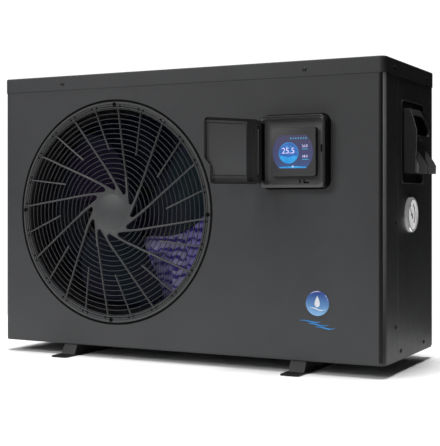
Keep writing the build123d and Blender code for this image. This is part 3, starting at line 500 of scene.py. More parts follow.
long_rib = rib("grille_rib", 0.046, 0.0050, 0.0066)
short_rib = rib("grille_short_rib", 0.134, 0.0040, 0.0054)
web_parts = [hub]
for index in range(12):
    for model, offset in ((long_rib, 0), (short_rib, 15)):
        bar = twin(model, "rib")
        around_fan(bar, math.radians(30 * index + offset))
        web_parts.append(bar)
for model in (long_rib, short_rib):
    bpy.data.objects.remove(model)
hoop_count = 16
for index in range(hoop_count):
    bpy.ops.object.select_all(action="DESELECT")
    bpy.ops.mesh.primitive_torus_add(major_segments=120, minor_segments=6, major_radius=0.064 + 0.0108 * index,
                                     minor_radius=0.00072, rotation=(math.pi / 2, 0, 0))
    hoop = bpy.context.object
    settle(hoop)
    for vertex in hoop.data.vertices:
        vertex.co = Vector((vertex.co.x, vertex.co.y * 2.4 + 0.0034, vertex.co.z)) + fan_centre
    web_parts.append(hoop)
web = join(*reversed(web_parts))
dome = 0.0052
for vertex in web.data.vertices:
    radius = Vector((vertex.co.x - fan_centre.x, vertex.co.z - fan_centre.z)).length
    vertex.co.y -= dome * max(0.0, 1 - (radius / rib_tip_r) ** 2)
grille = join(flange, web)
grille.name = "grille_moulding"
smooth(grille, 38)
grille.data.materials.clear()
grille.data.materials.append(grille_plastic)
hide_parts("fan_grille")
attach(grille, "cabinet")

# Black marks on the flange's face stand for its clip slots: painted shade in place of openings.
clips = []
for index in range(24):
    for shift in (-4.6, -1.6):
        bpy.ops.object.select_all(action="DESELECT")
        bpy.ops.mesh.primitive_cube_add(size=1)
        clip = bpy.context.object
        clip.scale = (0.0052, 0.0006, 0.0034)
        clip.location = fan_centre + Vector((rib_tip_r + 0.0030, face, 0))
        settle(clip)
        around_fan(clip, math.radians(15 * index + shift))
        clips.append(clip)
clip_marks = join(*clips)
clip_marks.name = "grille_clip_slot_shade"
finish_with(clip_marks, "BEVEL", width=0.0002, segments=1)
clip_marks.data.materials.append(black_and_painted_shade)
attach(clip_marks, "cabinet")

# Fan ring and fan: a flared black orifice, and three broad swept blades on a moulded hub.
# The blades are moulded in a satin black plastic with a teal and violet cast.
ring_plastic = surface("ring_plastic", (0.010, 0.010, 0.011), 0.45, wear=(0.34, 0.46, 30.0), grit=(600.0, 0.06))
coat(ring_plastic, "fan_ring", "rear_guard", "left_guard")

blade_gloss = surface("blade_gloss", (0.004, 0.012, 0.016), 0.45, specular=0.08,
                      tint=((0.001, 0.011, 0.013), (0.009, 0.004, 0.018), 7.0, 1.0), wear=(0.48, 0.62, 22.0))

fan_lo, fan_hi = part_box("fan_impeller")
fan_mid_y = (fan_lo.y + fan_hi.y) / 2
blade_root = 0.040
blade_tip = 0.2065
blade_parts = []
for index in range(3):
    bpy.ops.object.select_all(action="DESELECT")
    bpy.ops.mesh.primitive_grid_add(x_subdivisions=28, y_subdivisions=20, size=1)
    blade = bpy.context.object
    for vertex in blade.data.vertices:
        out = vertex.co.x + 0.5
        across = vertex.co.y * (1 - 0.10 * abs(2 * out - 1) ** 6)
        radius = blade_root + (blade_tip - blade_root) * out
        span = math.radians(89 - 24 * out - 12 * out * out)
        middle = math.radians(-1 + 120 * index + 26 * out)
        angle = middle + across * span
        rise = 0.058 * across * (1.0 - 0.15 * out) + 0.010 * (1 - 4 * across * across) * out
        vertex.co = (fan_centre.x + radius * math.cos(angle), fan_mid_y + rise,
                     fan_centre.z + radius * math.sin(angle))
    finish_with(blade, "SOLIDIFY", thickness=0.003, offset=0.0)
    finish_with(blade, "BEVEL", width=0.0008, segments=2, limit_method="ANGLE")
    blade_parts.append(blade)
fan_hub = lathe("fan_hub", [
    (0.006, -0.032), (0.020, -0.032), (0.024, -0.027), (0.036, -0.026), (0.043, -0.022), (0.046, -0.014),
    (0.046, 0.034), (0.042, 0.034), (0.040, 0.020), (0.006, 0.020),
], (fan_centre.x, fan_mid_y, fan_centre.z), (0, 1, 0), 64)
fan = join(*blade_parts, fan_hub)
fan.name = "fan_moulding"
smooth(fan, 40)
fan.data.materials.clear()
fan.data.materials.append(blade_gloss)
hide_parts("fan_impeller")
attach(fan, "fan")

# Steel inside: motor, bracket, shaft, nut, bolts and plates, zinc coated or enamelled; the bracket carries the
# fins' painted light instead.
zinc = surface("zinc", (0.30, 0.31, 0.33), 0.38, 0.9, tint=((0.24, 0.25, 0.27), (0.36, 0.37, 0.39), 90.0),
               wear=(0.30, 0.46, 55.0))
enamel = powder_coat("black_enamel", (0.014, 0.014, 0.015), 0.30)
coat(zinc, "fan_shaft", "fan_nut", "foot_bolts", "coil_end_plates", "electrical_box", "hinge_pins")
coat(enamel, "partition_plate", "fan_motor", "compressor", "suction_accumulator", "gauge_case")

# Evaporator: blue-coated aluminium fins pressed on level copper tubes, bent into an L.
# Each fin is a thin upright strip, folded in a zigzag so that no light passes straight through.


def lilac_painted_glow(name, centre, reach):
    """Dark blue coat that turns to streaked, glowing lilac inside an egg-shaped region: a painted pool of light.
    """
    made, nodes, links, shader = material(name, (0.20, 0.19, 0.42), 0.34)
    place = nodes.new("ShaderNodeTexCoord")
    patch = nodes.new("ShaderNodeMapping")
    patch.inputs["Location"].default_value = [-c / r for c, r in zip(centre, reach)]
    patch.inputs["Scale"].default_value = [1 / r for r in reach]
    ball = nodes.new("ShaderNodeTexGradient")
    ball.gradient_type = "SPHERICAL"
    inside = nodes.new("ShaderNodeMapRange")
    inside.inputs["From Min"].default_value = 0.05
    inside.inputs["From Max"].default_value = 0.36
    streaks = nodes.new("ShaderNodeTexWave")
    streaks.bands_direction = "Z"
    streaks.inputs["Scale"].default_value = 15.0
    streaks.inputs["Distortion"].default_value = 5.0
    streaks.inputs["Detail Scale"].default_value = 3.0
    ramp = nodes.new("ShaderNodeValToRGB")
    ramp.color_ramp.elements[0].position = 0.18
    ramp.color_ramp.elements[0].color = (0.07, 0.04, 0.32, 1)
    ramp.color_ramp.elements[1].position = 0.42
    ramp.color_ramp.elements[1].color = (0.44, 0.41, 0.68, 1)
    blend = nodes.new("ShaderNodeMix")
    blend.data_type = "RGBA"
    blend.inputs[6].default_value = (0.006, 0.008, 0.018, 1)
    links.new(place.outputs["Object"], patch.inputs["Vector"])
    links.new(patch.outputs["Vector"], ball.inputs["Vector"])
    links.new(ball.outputs["Fac"], inside.inputs["Value"])
    links.new(place.outputs["Object"], streaks.inputs["Vector"])
    links.new(streaks.outputs["Fac"], ramp.inputs["Fac"])
    links.new(inside.outputs["Result"], blend.inputs[0])
    links.new(ramp.outputs["Color"], blend.inputs[7])
    links.new(blend.outputs[2], shader.inputs["Base Color"])
    links.new(blend.outputs[2], shader.inputs["Emission Color"])
    shader.inputs["Emission Strength"].default_value = 0.12
    mottle(nodes, links, shader.inputs["Roughness"], 0.28, 0.44, 70.0)
    return made


# The lilac patch on the fins and on the bracket is painted light. It glows by emission, standing in for light that
# shines through the coil.
fin_painted_glow = lilac_painted_glow("fin_painted_glow", (-0.10, 0.120, 0.21), (0.20, 0.034, 0.19))
bracket_painted_glow = lilac_painted_glow("bracket_painted_glow", (-0.10, 0.048, 0.19), (0.13, 0.06, 0.15))
coat(bracket_painted_glow, "motor_bracket")
coil_lo, coil_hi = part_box("evaporator_coil")
coil_depth = 0.030
fin_pitch = 0.0048
fin_t = 0.0004
fin_fold = 0.0026
fins = []
fin_height = coil_hi.z - coil_lo.z
bend = 0.042
bpy.ops.object.select_all(action="DESELECT")
bpy.ops.mesh.primitive_grid_add(x_subdivisions=1, y_subdivisions=4, size=1, rotation=(0, math.pi / 2, 0))
fin_model = bpy.context.object
settle(fin_model)
for vertex in fin_model.data.vertices:
    across, up = vertex.co.y, vertex.co.z
    vertex.co = (fin_fold * math.cos(4 * math.pi * across), coil_depth * across, fin_height * (up + 0.5))
finish_with(fin_model, "SOLIDIFY", thickness=fin_t, offset=0.0)
for side, start, end in (("rear", coil_lo.x + bend, coil_hi.x), ("left", coil_lo.y, coil_hi.y - bend)):
    for index in range(int((end - start) / fin_pitch)):
        fin = twin(fin_model, "fin")
        at = start + fin_pitch * index
        if side == "rear":
            fin.data.transform(Matrix.Translation((at, coil_hi.y - coil_depth / 2, coil_lo.z)))
        else:
            fin.data.transform(Matrix.Translation((coil_lo.x + coil_depth / 2, at, coil_lo.z))
                               @ Matrix.Rotation(math.pi / 2, 4, "Z"))
        fins.append(fin)
bpy.data.objects.remove(fin_model)
coil = join(*fins)
coil.name = "evaporator_fins"
coil.data.materials.append(fin_painted_glow)
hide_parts("evaporator_coil")
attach(coil, "cabinet")

copper = surface("copper", (0.60, 0.28, 0.16), 0.30, 1.0, tint=((0.50, 0.22, 0.12), (0.70, 0.36, 0.22), 35.0),
                 wear=(0.22, 0.40, 60.0))
coat(copper, "return_bends", "four_way_valve", "filter_drier", "expansion_valve", "discharge_pipe",
     "suction_pipe", "liquid_pipe")
tube_copper = surface("tube_copper", (0.05, 0.028, 0.02), 0.55,
                      tint=((0.03, 0.018, 0.014), (0.07, 0.036, 0.024), 50.0))
tubes = []
tube_r = 0.0042
for index in range(13):
    z = coil_lo.z + 0.022 + 0.044 * index
    start = coil_lo.x + 0.006
    bpy.ops.object.select_all(action="DESELECT")
    bpy.ops.mesh.primitive_cylinder_add(
        vertices=16, radius=tube_r, depth=coil_hi.x - start, rotation=(0, math.pi / 2, 0),
        location=((start + coil_hi.x) / 2, coil_hi.y - coil_depth / 2, z))
    tubes.append(bpy.context.object)
coil_tubes = join(*tubes)
settle(coil_tubes)
smooth(coil_tubes)
coil_tubes.name = "evaporator_tubes"
coil_tubes.data.materials.append(tube_copper)
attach(coil_tubes, "cabinet")

# Screws: small pan heads with a cross recess, black zinc, driven through the cover's skirt,
# the grille's rim, and the side and rear panels.
screw_dark = surface("screw_black", (0.006, 0.006, 0.006), 0.45, wear=(0.38, 0.55, 300.0))
head_r = 0.0044
head_h = 0.0023
head = lathe("screw_head", [
    (0.0, 0.0), (head_r, 0.0), (head_r, 0.0006), (head_r - 0.0004, 0.0012), (head_r - 0.0013, head_h - 0.0004),
    (head_r - 0.0024, head_h), (0.0, head_h),
], (0, 0, 0), (0, 0, 1), 24)
for turned in (0.0, math.pi / 2):
    bpy.ops.object.select_all(action="DESELECT")
    bpy.ops.mesh.primitive_cube_add(size=1, rotation=(0, 0, turned), location=(0, 0, head_h))
    slot_cutter = bpy.context.object
    slot_cutter.scale = (0.0046, 0.0009, 0.0022)
    settle(slot_cutter)
    cut(head, slot_cutter)
smooth(head, 30)


def loose_boxes(node):
    """Lowest and highest corner of each separate solid of a CAD node."""
    copy = twin(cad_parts[node], "loose")
    merge_and_face_out(copy)
    bpy.ops.object.mode_set(mode="EDIT")
    bpy.ops.mesh.select_all(action="SELECT")
    bpy.ops.mesh.separate(type="LOOSE")
    bpy.ops.object.mode_set(mode="OBJECT")
    boxes = []
    for part in list(bpy.context.selected_objects):
        places = [vertex.co for vertex in part.data.vertices]
        boxes.append((Vector(min(p[i] for p in places) for i in range(3)),
                      Vector(max(p[i] for p in places) for i in range(3))))
        bpy.data.objects.remove(part)
    return boxes


for index, node in enumerate(("cover_screws", "grille_screws", "side_panel_screws", "rear_panel_screws")):
    heads = []
    for number, (lo, hi) in enumerate(loose_boxes(node)):
        size = hi - lo
        axis = max(range(3), key=lambda i: abs(size[i] - 0.009))
        middle = (lo + hi) / 2
        out = Vector((0, 0, 0))
        out[axis] = 1.0 if middle[axis] > 0 else -1.0
        middle[axis] = (hi[axis] if out[axis] > 0 else lo[axis]) - out[axis] * head_h
        one = twin(head, "head")
        spin = Matrix.Rotation(math.radians(17 + 41 * number), 4, "Z")
        one.data.transform(Matrix.Translation(middle) @ out.to_track_quat("Z", "Y").to_matrix().to_4x4() @ spin)
        heads.append(one)
    screws = join(*heads)
    screws.name = node + "_heads"
    screws.data.materials.clear()
    screws.data.materials.append(black_and_painted_shade if node == "grille_screws" else screw_dark)
    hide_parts(node)
    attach(screws, "cabinet")
bpy.data.objects.remove(head)

# Controller: a moulded ABS frame on a foam gasket, with a touch module let into its recess.
# The module has a black surround and one sheet of printed glass over a lit round display.
controller_plastic = surface("controller_plastic", (0.052, 0.053, 0.055), 0.42, specular=0.4,
                             wear=(0.38, 0.48, 50.0), grit=(1100.0, 0.10))
# Black of the touch module, also used for painted shade at the recess edge and beside the hinge.
module_black_and_shade = surface("module_black_and_shade", (0.010, 0.010, 0.011), 0.35, wear=(0.28, 0.42, 90.0))
foam = surface("foam_black", (0.006, 0.006, 0.006), 0.9,
               tint=((0.004, 0.004, 0.004), (0.009, 0.009, 0.009), 200.0), grit=(1500.0, 0.4))
coat(module_black_and_shade, "controller_module")
coat(foam, "controller_gasket", "compressor_grommets")
box_centre = Vector((0.2715, 0, 0.443))
# Painted light on the frame: light grey inside its rim, lightest in a line just inside the rim as a painted
# highlight, and near black on the outer rim along the top and both sides as a painted dark reflection.
frame_rim_painted_light, nodes, links, shader = material("frame_rim_painted_light", (0.06, 0.06, 0.06), 0.42)
shader.inputs["Specular IOR Level"].default_value = 0.3
place = nodes.new("ShaderNodeTexCoord")
split = nodes.new("ShaderNodeSeparateXYZ")
across = nodes.new("ShaderNodeMath")
across.operation = "SUBTRACT"
across.inputs[1].default_value = box_centre.x
across_abs = nodes.new("ShaderNodeMath")
across_abs.operation = "ABSOLUTE"
above = nodes.new("ShaderNodeMath")
above.operation = "SUBTRACT"
above.inputs[1].default_value = box_centre.z
widest = nodes.new("ShaderNodeMath")
widest.operation = "MAXIMUM"
links.new(place.outputs["Object"], split.inputs["Vector"])
links.new(split.outputs["X"], across.inputs[0])
links.new(across.outputs["Value"], across_abs.inputs[0])
links.new(split.outputs["Z"], above.inputs[0])
links.new(across_abs.outputs["Value"], widest.inputs[0])
links.new(above.outputs["Value"], widest.inputs[1])
band_blend(nodes, links, shader.inputs["Base Color"], widest.outputs["Value"], 0.0640, 0.0740,
           (0, (0.095,) * 3), (0.20, (0.105,) * 3), (0.30, (0.008,) * 3), (1, (0.006,) * 3))
mottle(nodes, links, shader.inputs["Roughness"], 0.38, 0.48, 50.0)
grain(nodes, links, shader, 1100.0, 0.10)
coat(frame_rim_painted_light, "controller_frame")

# The glass's base colour grows lighter towards its upper left corner.
printed_glass, nodes, links, shader = material("printed_glass", (0.06, 0.06, 0.07), 0.30)
shader.inputs["Specular IOR Level"].default_value = 0.3
place = nodes.new("ShaderNodeTexCoord")
split = nodes.new("ShaderNodeSeparateXYZ")
fall = nodes.new("ShaderNodeMath")
fall.operation = "SUBTRACT"
links.new(place.outputs["Object"], split.inputs["Vector"])
links.new(split.outputs["Z"], fall.inputs[0])
links.new(split.outputs["X"], fall.inputs[1])
band_blend(nodes, links, shader.inputs["Base Color"], fall.outputs["Value"], 0.13, 0.25,
           (0.45, (0.058, 0.058, 0.060)), (1, (0.105, 0.105, 0.108)))
coat(printed_glass, "display_glass")


def glow(name, low, high, strength, scale=60.0):
    """A lit area of a screen: soft colour, and light of its own."""
    finish, nodes, links, shader = material(name, low, 0.3)
    mottle(nodes, links, shader.inputs["Base Color"], low, high, scale)
    mottle(nodes, links, shader.inputs["Emission Color"], low, high, scale)
    shader.inputs["Emission Strength"].default_value = strength
    return finish


def sector(inner, outer, first, last, steps):
    """Outline of part of a ring, between two angles in degrees."""
    turns = [math.radians(first + (last - first) * i / steps) for i in range(steps + 1)]
    rim = [(outer * math.cos(t), outer * math.sin(t)) for t in turns]
    bore = [(inner * math.cos(t), inner * math.sin(t)) for t in reversed(turns)]
    return rim + (bore if inner > 0 else [(0.0, 0.0)])


glass_lo, glass_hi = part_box("display_glass")
glass_mid = (glass_lo + glass_hi) / 2
layer = 0.00003


def on_glass(u, v, level=1):
    """A point of the printed glass, right and up from its centre, some layers in front of it."""
    return (glass_mid.x + u, glass_lo.y - layer * level, glass_mid.z + v)


screen_r = 0.0435
screen_h = 0.0335
field = []
for step in range(96):
    angle = 2 * math.pi * step / 96
    field.append((screen_r * math.cos(angle), max(-screen_h, min(screen_h, screen_r * math.sin(angle)))))
screen_lit, nodes, links, shader = material("screen_lit", (0.01, 0.01, 0.02), 0.35)
height_blend(nodes, links, shader.inputs["Emission Color"], glass_mid.z - screen_h, glass_mid.z + screen_h,
             (0, (0.035, 0.085, 0.22)), (0.3, (0.045, 0.055, 0.15)), (1, (0.052, 0.045, 0.095)))
shader.inputs["Emission Strength"].default_value = 1.0
screen = plate("screen_field", field, on_glass, layer, screen_lit)

cyan = glow("screen_cyan", (0.015, 0.16, 0.40), (0.03, 0.26, 0.52), 1.0)
deep = glow("screen_blue", (0.02, 0.07, 0.24), (0.03, 0.10, 0.30), 1.0)
teal = glow("screen_teal", (0.03, 0.22, 0.36), (0.05, 0.30, 0.42), 1.0)
lilac = glow("screen_lilac", (0.42, 0.40, 0.62), (0.52, 0.50, 0.72), 1.0)
dial_r = 0.0212
dial_at = Vector((-0.0090, -0.0022))


def round_shape(centre, outline):
    """Shift an outline to its centre."""
    return [(centre.x + u, centre.y + v) for u, v in outline]


screen_bits = []


def print_on_screen(name, outline, level, ink):
    """Lay one printed area on the glass, some layers up."""
    screen_bits.append(plate(name, outline, lambda u, v: on_glass(u, v, level), layer, ink))


disc_shape = [(dial_r * math.cos(math.radians(6 * i)), dial_r * math.sin(math.radians(6 * i)))
              for i in range(60)]
print_on_screen("dial_field", round_shape(dial_at, disc_shape), 2, deep)
for first in (0, 180):
    ring = round_shape(dial_at, sector(dial_r - 0.0008, dial_r, first, first + 180, 32))
    print_on_screen("ring", ring, 4, cyan)
bowl_top = -0.0070
bowl_r = dial_r - 0.0010
bowl_half = math.sqrt(bowl_r**2 - bowl_top**2)
ripple_h = 0.0014
wave = [(-bowl_half + 2 * bowl_half * i / 24, bowl_top + ripple_h * math.sin(2 * math.pi * i / 16))
        for i in range(1, 24)]
first_turn = math.atan2(bowl_top, bowl_half)
bowl = [(bowl_r * math.cos(a), bowl_r * math.sin(a))
        for a in (first_turn - (math.pi + 2 * first_turn) * i / 32 for i in range(33))]
print_on_screen("water", round_shape(dial_at, wave + bowl), 3, cyan)
for u, v, width in ((0.0200, 0.0045, 0.0120), (0.0200, -0.0160, 0.0140), (-0.0150, 0.0100, 0.0045),
                    (-0.0070, 0.0100, 0.0045)):
    bar = [(u, v), (u + width, v), (u + width, v + 0.0012), (u, v + 0.0012)]
    print_on_screen("underline", bar, 4, teal)
for index in range(7):
    icon_r = 0.0016 - 0.0002 * (index % 2)
    dot = [(-0.0040 + 0.0054 * index + u, 0.0268 + v) for u, v in sector(0.0, icon_r, 30, 330, 10)]
    print_on_screen("icon", dot, 2, teal)
glow_line = [(-0.0290 + 0.058 * i / 20, -0.0300 + 0.0012 * math.sin(math.pi * i / 20)) for i in range(21)]
glow_line += [(0.0290, -0.0318), (-0.0290, -0.0318)]
print_on_screen("line", glow_line, 2, cyan)
spot = [(u, v - 0.0290) for u, v in sector(0.0, 0.0016, 0, 345, 16)]
print_on_screen("spot", spot, 3, lilac)
for first in (0, 180):
    touch = [(u, v - 0.0402) for u, v in sector(0.0044, 0.0050, first, first + 180, 20)]
    print_on_screen("touch_ring", touch, 1, controller_plastic)
for figures, size, u, v in (("25.5", 0.0165, dial_at.x - 0.0150, -0.0030), ("26.0", 0.0072, 0.0195, 0.0090),
                            ("18.0", 0.0072, 0.0195, -0.0115)):
    bpy.ops.object.select_all(action="DESELECT")
    bpy.ops.object.text_add()
    digits = bpy.context.object
    digits.data.body = figures
    digits.data.size = size
    digits.data.extrude = layer / 2
    pick(digits)
    bpy.ops.object.convert(target="MESH")
    digits = bpy.context.object
    digits.rotation_euler = (math.pi / 2, 0, 0)
    digits.location = on_glass(u, v, 6)
    settle(digits)
    digits.data.materials.clear()
    digits.data.materials.append(lilac)
    screen_bits.append(digits)
screen_print = join(*screen_bits)
screen_print.name = "screen_print"
for piece in (screen, screen_print):
    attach(piece, "cabinet")

# Black plates where the latch slots open: painted shade in place of openings.
slots = []
floor_y = -0.1715
for x, z, width, height in ((0.3330, 0.4335, 0.0050, 0.0070), (0.3290, 0.4490, 0.0035, 0.0150),
                            (0.2830, 0.3835, 0.0030, 0.0080), (0.2920, 0.3835, 0.0030, 0.0080),
                            (0.2970, 0.3810, 0.0100, 0.0032)):
    outline = [(x + dx * width / 2, z + dz * height / 2) for dx, dz in ((-1, -1), (1, -1), (1, 1), (-1, 1))]
    slots.append(plate("slot", outline, lambda u, v: (u, floor_y - 0.0001, v), 0.0001, black_and_painted_shade))
latch_slot_shade = join(*slots)
latch_slot_shade.name = "controller_slot_shade"
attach(latch_slot_shade, "cabinet")

# Flip cover: a thin-walled ABS lid, hinged at its left and standing open, that shuts over the
# controller. A fine rectangular bead is moulded inside and its free edge is notched for a finger. Its inner face
# is painted lighter than its outside as painted light, a black bead along its walls is painted shade, and a dark
# band by the hinge is a painted shadow.
# Painted light: light grey on the lid's inner face, near black on what stands above it, and the casing's grey
# outside.
lid_painted_light, nodes, links, shader = material("lid_painted_light", (0.085, 0.086, 0.089), 0.42)
shader.inputs["Specular IOR Level"].default_value = 0.4
mottle(nodes, links, shader.inputs["Roughness"], 0.38, 0.48, 50.0)
grain(nodes, links, shader, 1100.0, 0.10)
hinge = Vector((0.2015, -0.191, 0.443))
lid_along = Vector((-0.5, -math.sqrt(3) / 2, 0))
lid_in = Vector((math.sqrt(3) / 2, -0.5, 0))
lid_floor = -0.0068
place = nodes.new("ShaderNodeTexCoord")
depth = nodes.new("ShaderNodeVectorMath")
depth.operation = "DOT_PRODUCT"
depth.inputs[1].default_value = lid_in
links.new(place.outputs["Object"], depth.inputs[0])
floor_place = hinge.dot(lid_in) + lid_floor
band_blend(nodes, links, shader.inputs["Base Color"], depth.outputs["Value"], floor_place - 0.0022,
           floor_place + 0.0018, (0, (0.055,) * 3), (0.35, (0.055,) * 3), (0.45, (0.20,) * 3),
           (0.62, (0.20,) * 3), (0.72, (0.030,) * 3), (1, (0.030,) * 3))
coat(lid_painted_light, "flip_cover")


def in_lid(s, v, lift=0.0):
    """A point of the lid's inner face: s from the hinge, v up from its middle, lift above the floor."""
    return hinge + lid_along * s + lid_in * (lid_floor + lift) + Vector((0, 0, v))


def bead(name, points, radius, finish, closed=True):
    """A thin round bead along straight runs between points."""
    curve = bpy.data.curves.new(name, "CURVE")
    curve.dimensions = "3D"
    line = curve.splines.new("POLY")
    line.points.add(len(points) - 1)
    for node, point in zip(line.points, points):
        node.co = (*point, 1)
    line.use_cyclic_u = closed
    curve.bevel_depth = radius
    curve.bevel_resolution = 2
    curve.use_fill_caps = not closed
    piece = bpy.data.objects.new(name, curve)
    bpy.context.scene.collection.objects.link(piece)
    pick(piece)
    bpy.ops.object.convert(target="MESH")
    piece = bpy.context.object
    merge_and_face_out(piece)
    smooth(piece, 50)
    piece.data.materials.clear()
    piece.data.materials.append(finish)
    return piece


inner_frame = [(0.025, 0.055), (0.120, 0.055), (0.120, -0.016), (0.106, -0.032), (0.106, -0.048),
               (0.025, -0.048)]
lid_bead = bead("lid_bead", [in_lid(s, v, 0.0001) for s, v in inner_frame], 0.0007, module_black_and_shade)
# A black bead along the lid's walls: painted shade.
wall_line = [(0.012, 0.0625), (0.122, 0.0625), (0.1272, 0.057), (0.1272, -0.0130), (0.1132, -0.0290),
             (0.1132, -0.058), (0.109, -0.0625), (0.012, -0.0625)]
lid_wall_shade = bead("lid_wall_shade", [in_lid(s, v, 0.0040) for s, v in wall_line], 0.0016, black_and_painted_shade, closed=False)
# A darker band on the lid's inner face by the hinge: painted shadow.
hinge_shadow_band = plate("lid_hinge_shadow", [(0.009, -0.0615), (0.024, -0.0615), (0.024, 0.0615), (0.009, 0.0615)],
                   lambda s, v: in_lid(s, v, 0.0001), 0.0002, controller_plastic)
for piece in (lid_bead, lid_wall_shade, hinge_shadow_band):
    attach(piece, "cover")


def rounded(half, radius):
    """Corner-rounded square outline about the controller's middle."""
    line = []
    for across, up, first in ((1, 1, 0), (-1, 1, 90), (-1, -1, 180), (1, -1, 270)):
        for step in range(7):
            angle = math.radians(first + 15 * step)
            line.append((box_centre.x + across * (half - radius) + radius * math.cos(angle),
                         box_centre.z + up * (half - radius) + radius * math.sin(angle)))
    return line


rim_y = -0.1873
recess_y = -0.1717
# Painted shade: black beads round the frame's outer edge and the recess edge, a black sheet on the recess's side
# wall, and a dark strip by the hinge.
outline = bead("controller_gap_shade", [(x, front_y - 0.0006, z) for x, z in rounded(0.0738, 0.0158)], 0.0017,
               black_and_painted_shade)
recess = bead("recess_edge_shade", [(x, rim_y, z) for x, z in rounded(0.0661, 0.0091)], 0.0004, module_black_and_shade)
wall_x = 0.2057
wall_shade_sheet = plate("recess_wall_shade", [(-0.1872, 0.386), (recess_y, 0.386), (recess_y, 0.500), (-0.1872, 0.500)],
                   lambda u, v: (wall_x, u, v), 0.0002, black_and_painted_shade)
hinge_shade_strip = plate("hinge_shade", [(0.2002, 0.4030), (0.2056, 0.4030), (0.2056, 0.4830), (0.2002, 0.4830)],
                lambda u, v: (u, -0.18765, v), 0.0002, module_black_and_shade)
for piece in (outline, recess, wall_shade_sheet, hinge_shade_strip):
    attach(piece, "cabinet")

# Gauge: a chrome bezel and clear window over a white card printed with green, yellow and red
# zones and black marks, with a black pressed needle on a small hub.
chrome, nodes, links, shader = material("chrome", (0.72, 0.72, 0.73), 0.22, 0.8)
# The bezel glows a little, though no lamp lights it: painted light.
shader.inputs["Emission Color"].default_value = (1.0, 1.0, 1.0, 1)
shader.inputs["Emission Strength"].default_value = 0.16
mottle(nodes, links, shader.inputs["Roughness"], 0.08, 0.18, 60.0)
card, nodes, links, shader = material("dial_card_glow", (0.72, 0.73, 0.74), 0.5)
mottle(nodes, links, shader.inputs["Base Color"], (0.66, 0.67, 0.68), (0.76, 0.77, 0.78), 120.0)
# The card glows as painted light, which keeps it white.
shader.inputs["Emission Color"].default_value = (1.0, 1.0, 1.0, 1)
shader.inputs["Emission Strength"].default_value = 0.62
clear, nodes, links, shader = material("gauge_window", (1.0, 1.0, 1.0), 0.03)
shader.inputs["Transmission Weight"].default_value = 1.0
shader.inputs["IOR"].default_value = 1.2
mottle(nodes, links, shader.inputs["Roughness"], 0.01, 0.05, 80.0)
coat(chrome, "gauge_bezel")
coat(card, "gauge_dial")
coat(clear, "gauge_lens")
dial_lo, dial_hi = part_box("gauge_dial")
dial_mid = (dial_lo + dial_hi) / 2


def on_dial(u, v, level=1):
    """A point of the gauge's card: u towards the back, v up."""
    return (dial_hi.x + 0.00006 * level, dial_mid.y + u, dial_mid.z + v)


inks = {}
for name, colour in (("green", (0.02, 0.30, 0.10)), ("yellow", (0.75, 0.58, 0.04)), ("red", (0.55, 0.03, 0.02)),
                     ("black", (0.010, 0.010, 0.010))):
    ink, nodes, links, shader = material("ink_" + name, colour, 0.5)
    mottle(nodes, links, shader.inputs["Base Color"], tuple(0.85 * c for c in colour), colour, 400.0)
    inks[name] = ink
prints = [
    plate("zone", sector(0.018, 0.0265, 100, 205, 40), on_dial, 0.00004, inks["green"]),
    plate("zone", sector(0.018, 0.0265, 205, 240, 16), on_dial, 0.00004, inks["yellow"]),
    plate("zone", sector(0.022, 0.0265, -45, 60, 40), on_dial, 0.00004, inks["red"]),
]
for index in range(28):
    angle = 240 - 10 * index
    long = index % 3 == 0
    prints.append(plate("mark", sector(0.0235 if long else 0.0255, 0.0285, angle - 0.8, angle + 0.8, 2),
                        lambda u, v: on_dial(u, v, 2), 0.00004, inks["black"]))
scale_print = join(*prints)
scale_print.name = "gauge_scale"
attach(scale_print, "cabinet")

pointing = math.radians(130)
needle_x = 0.4614


def along_needle(u, v):
    """A point of the needle, u towards its tip and v across it."""
    return (needle_x, dial_mid.y + u * math.cos(pointing) - v * math.sin(pointing),
            dial_mid.z + u * math.sin(pointing) + v * math.cos(pointing))


needle_shape = [(-0.0100, 0.0026), (-0.0085, 0.0022), (-0.0040, 0.0014), (0.0235, 0.0003), (0.0240, 0.0),
                (0.0235, -0.0003), (-0.0040, -0.0014), (-0.0085, -0.0022), (-0.0100, -0.0026)]
needle = plate("needle_blade", needle_shape, along_needle, 0.0006, inks["black"])
boss = lathe("needle_boss", [
    (0.0, 0.0006), (0.0030, 0.0006), (0.0032, 0.0003), (0.0032, -0.0008), (0.0, -0.0008),
], (needle_x, dial_mid.y, dial_mid.z), (1, 0, 0), 32)
boss.data.materials.append(inks["black"])
needle = join(boss, needle)
needle.name = "needle_pressing"
smooth(needle)
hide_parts("gauge_needle")
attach(needle, "needle")

# Side handle: a black ABS moulding screwed into the side panel's pocket. A flat cheek closes its
# front, a D-shaped hood with a grip window stands over it, and three fins slope out below, their front and outer
# faces painted lighter as painted light.
# A fine light bead along the cheek's edge is a painted highlight, and a light bead edging the pocket is a painted
# highlight.
handle_black = surface("handle_black", (0.010, 0.010, 0.011), 0.40, wear=(0.31, 0.42, 45.0), grit=(900.0, 0.08))
handle_grey = surface("handle_grey", (0.030, 0.030, 0.031), 0.36, wear=(0.31, 0.42, 45.0))
lit_face_grey = surface("lit_face_grey", (0.22, 0.22, 0.22), 0.45, wear=(0.40, 0.50, 45.0))
side_x = panel_hi.x
handle_lo, handle_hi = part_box("side_handle")
cheek_t = 0.004
body_out = 0.012
cheek = plate("handle_cheek", [
    (-0.009, 0.401), (0.0265, 0.401), (0.0283, 0.448), (0.0290, 0.487), (0.0225, 0.509), (0.0160, 0.5300),
    (0.0150, 0.5310), (-0.009, 0.5310),
], lambda u, v: Vector((side_x + u, handle_lo.y + cheek_t / 2, v)), cheek_t, handle_black)
finish_with(cheek, "BEVEL", width=0.0010, segments=3, limit_method="ANGLE")
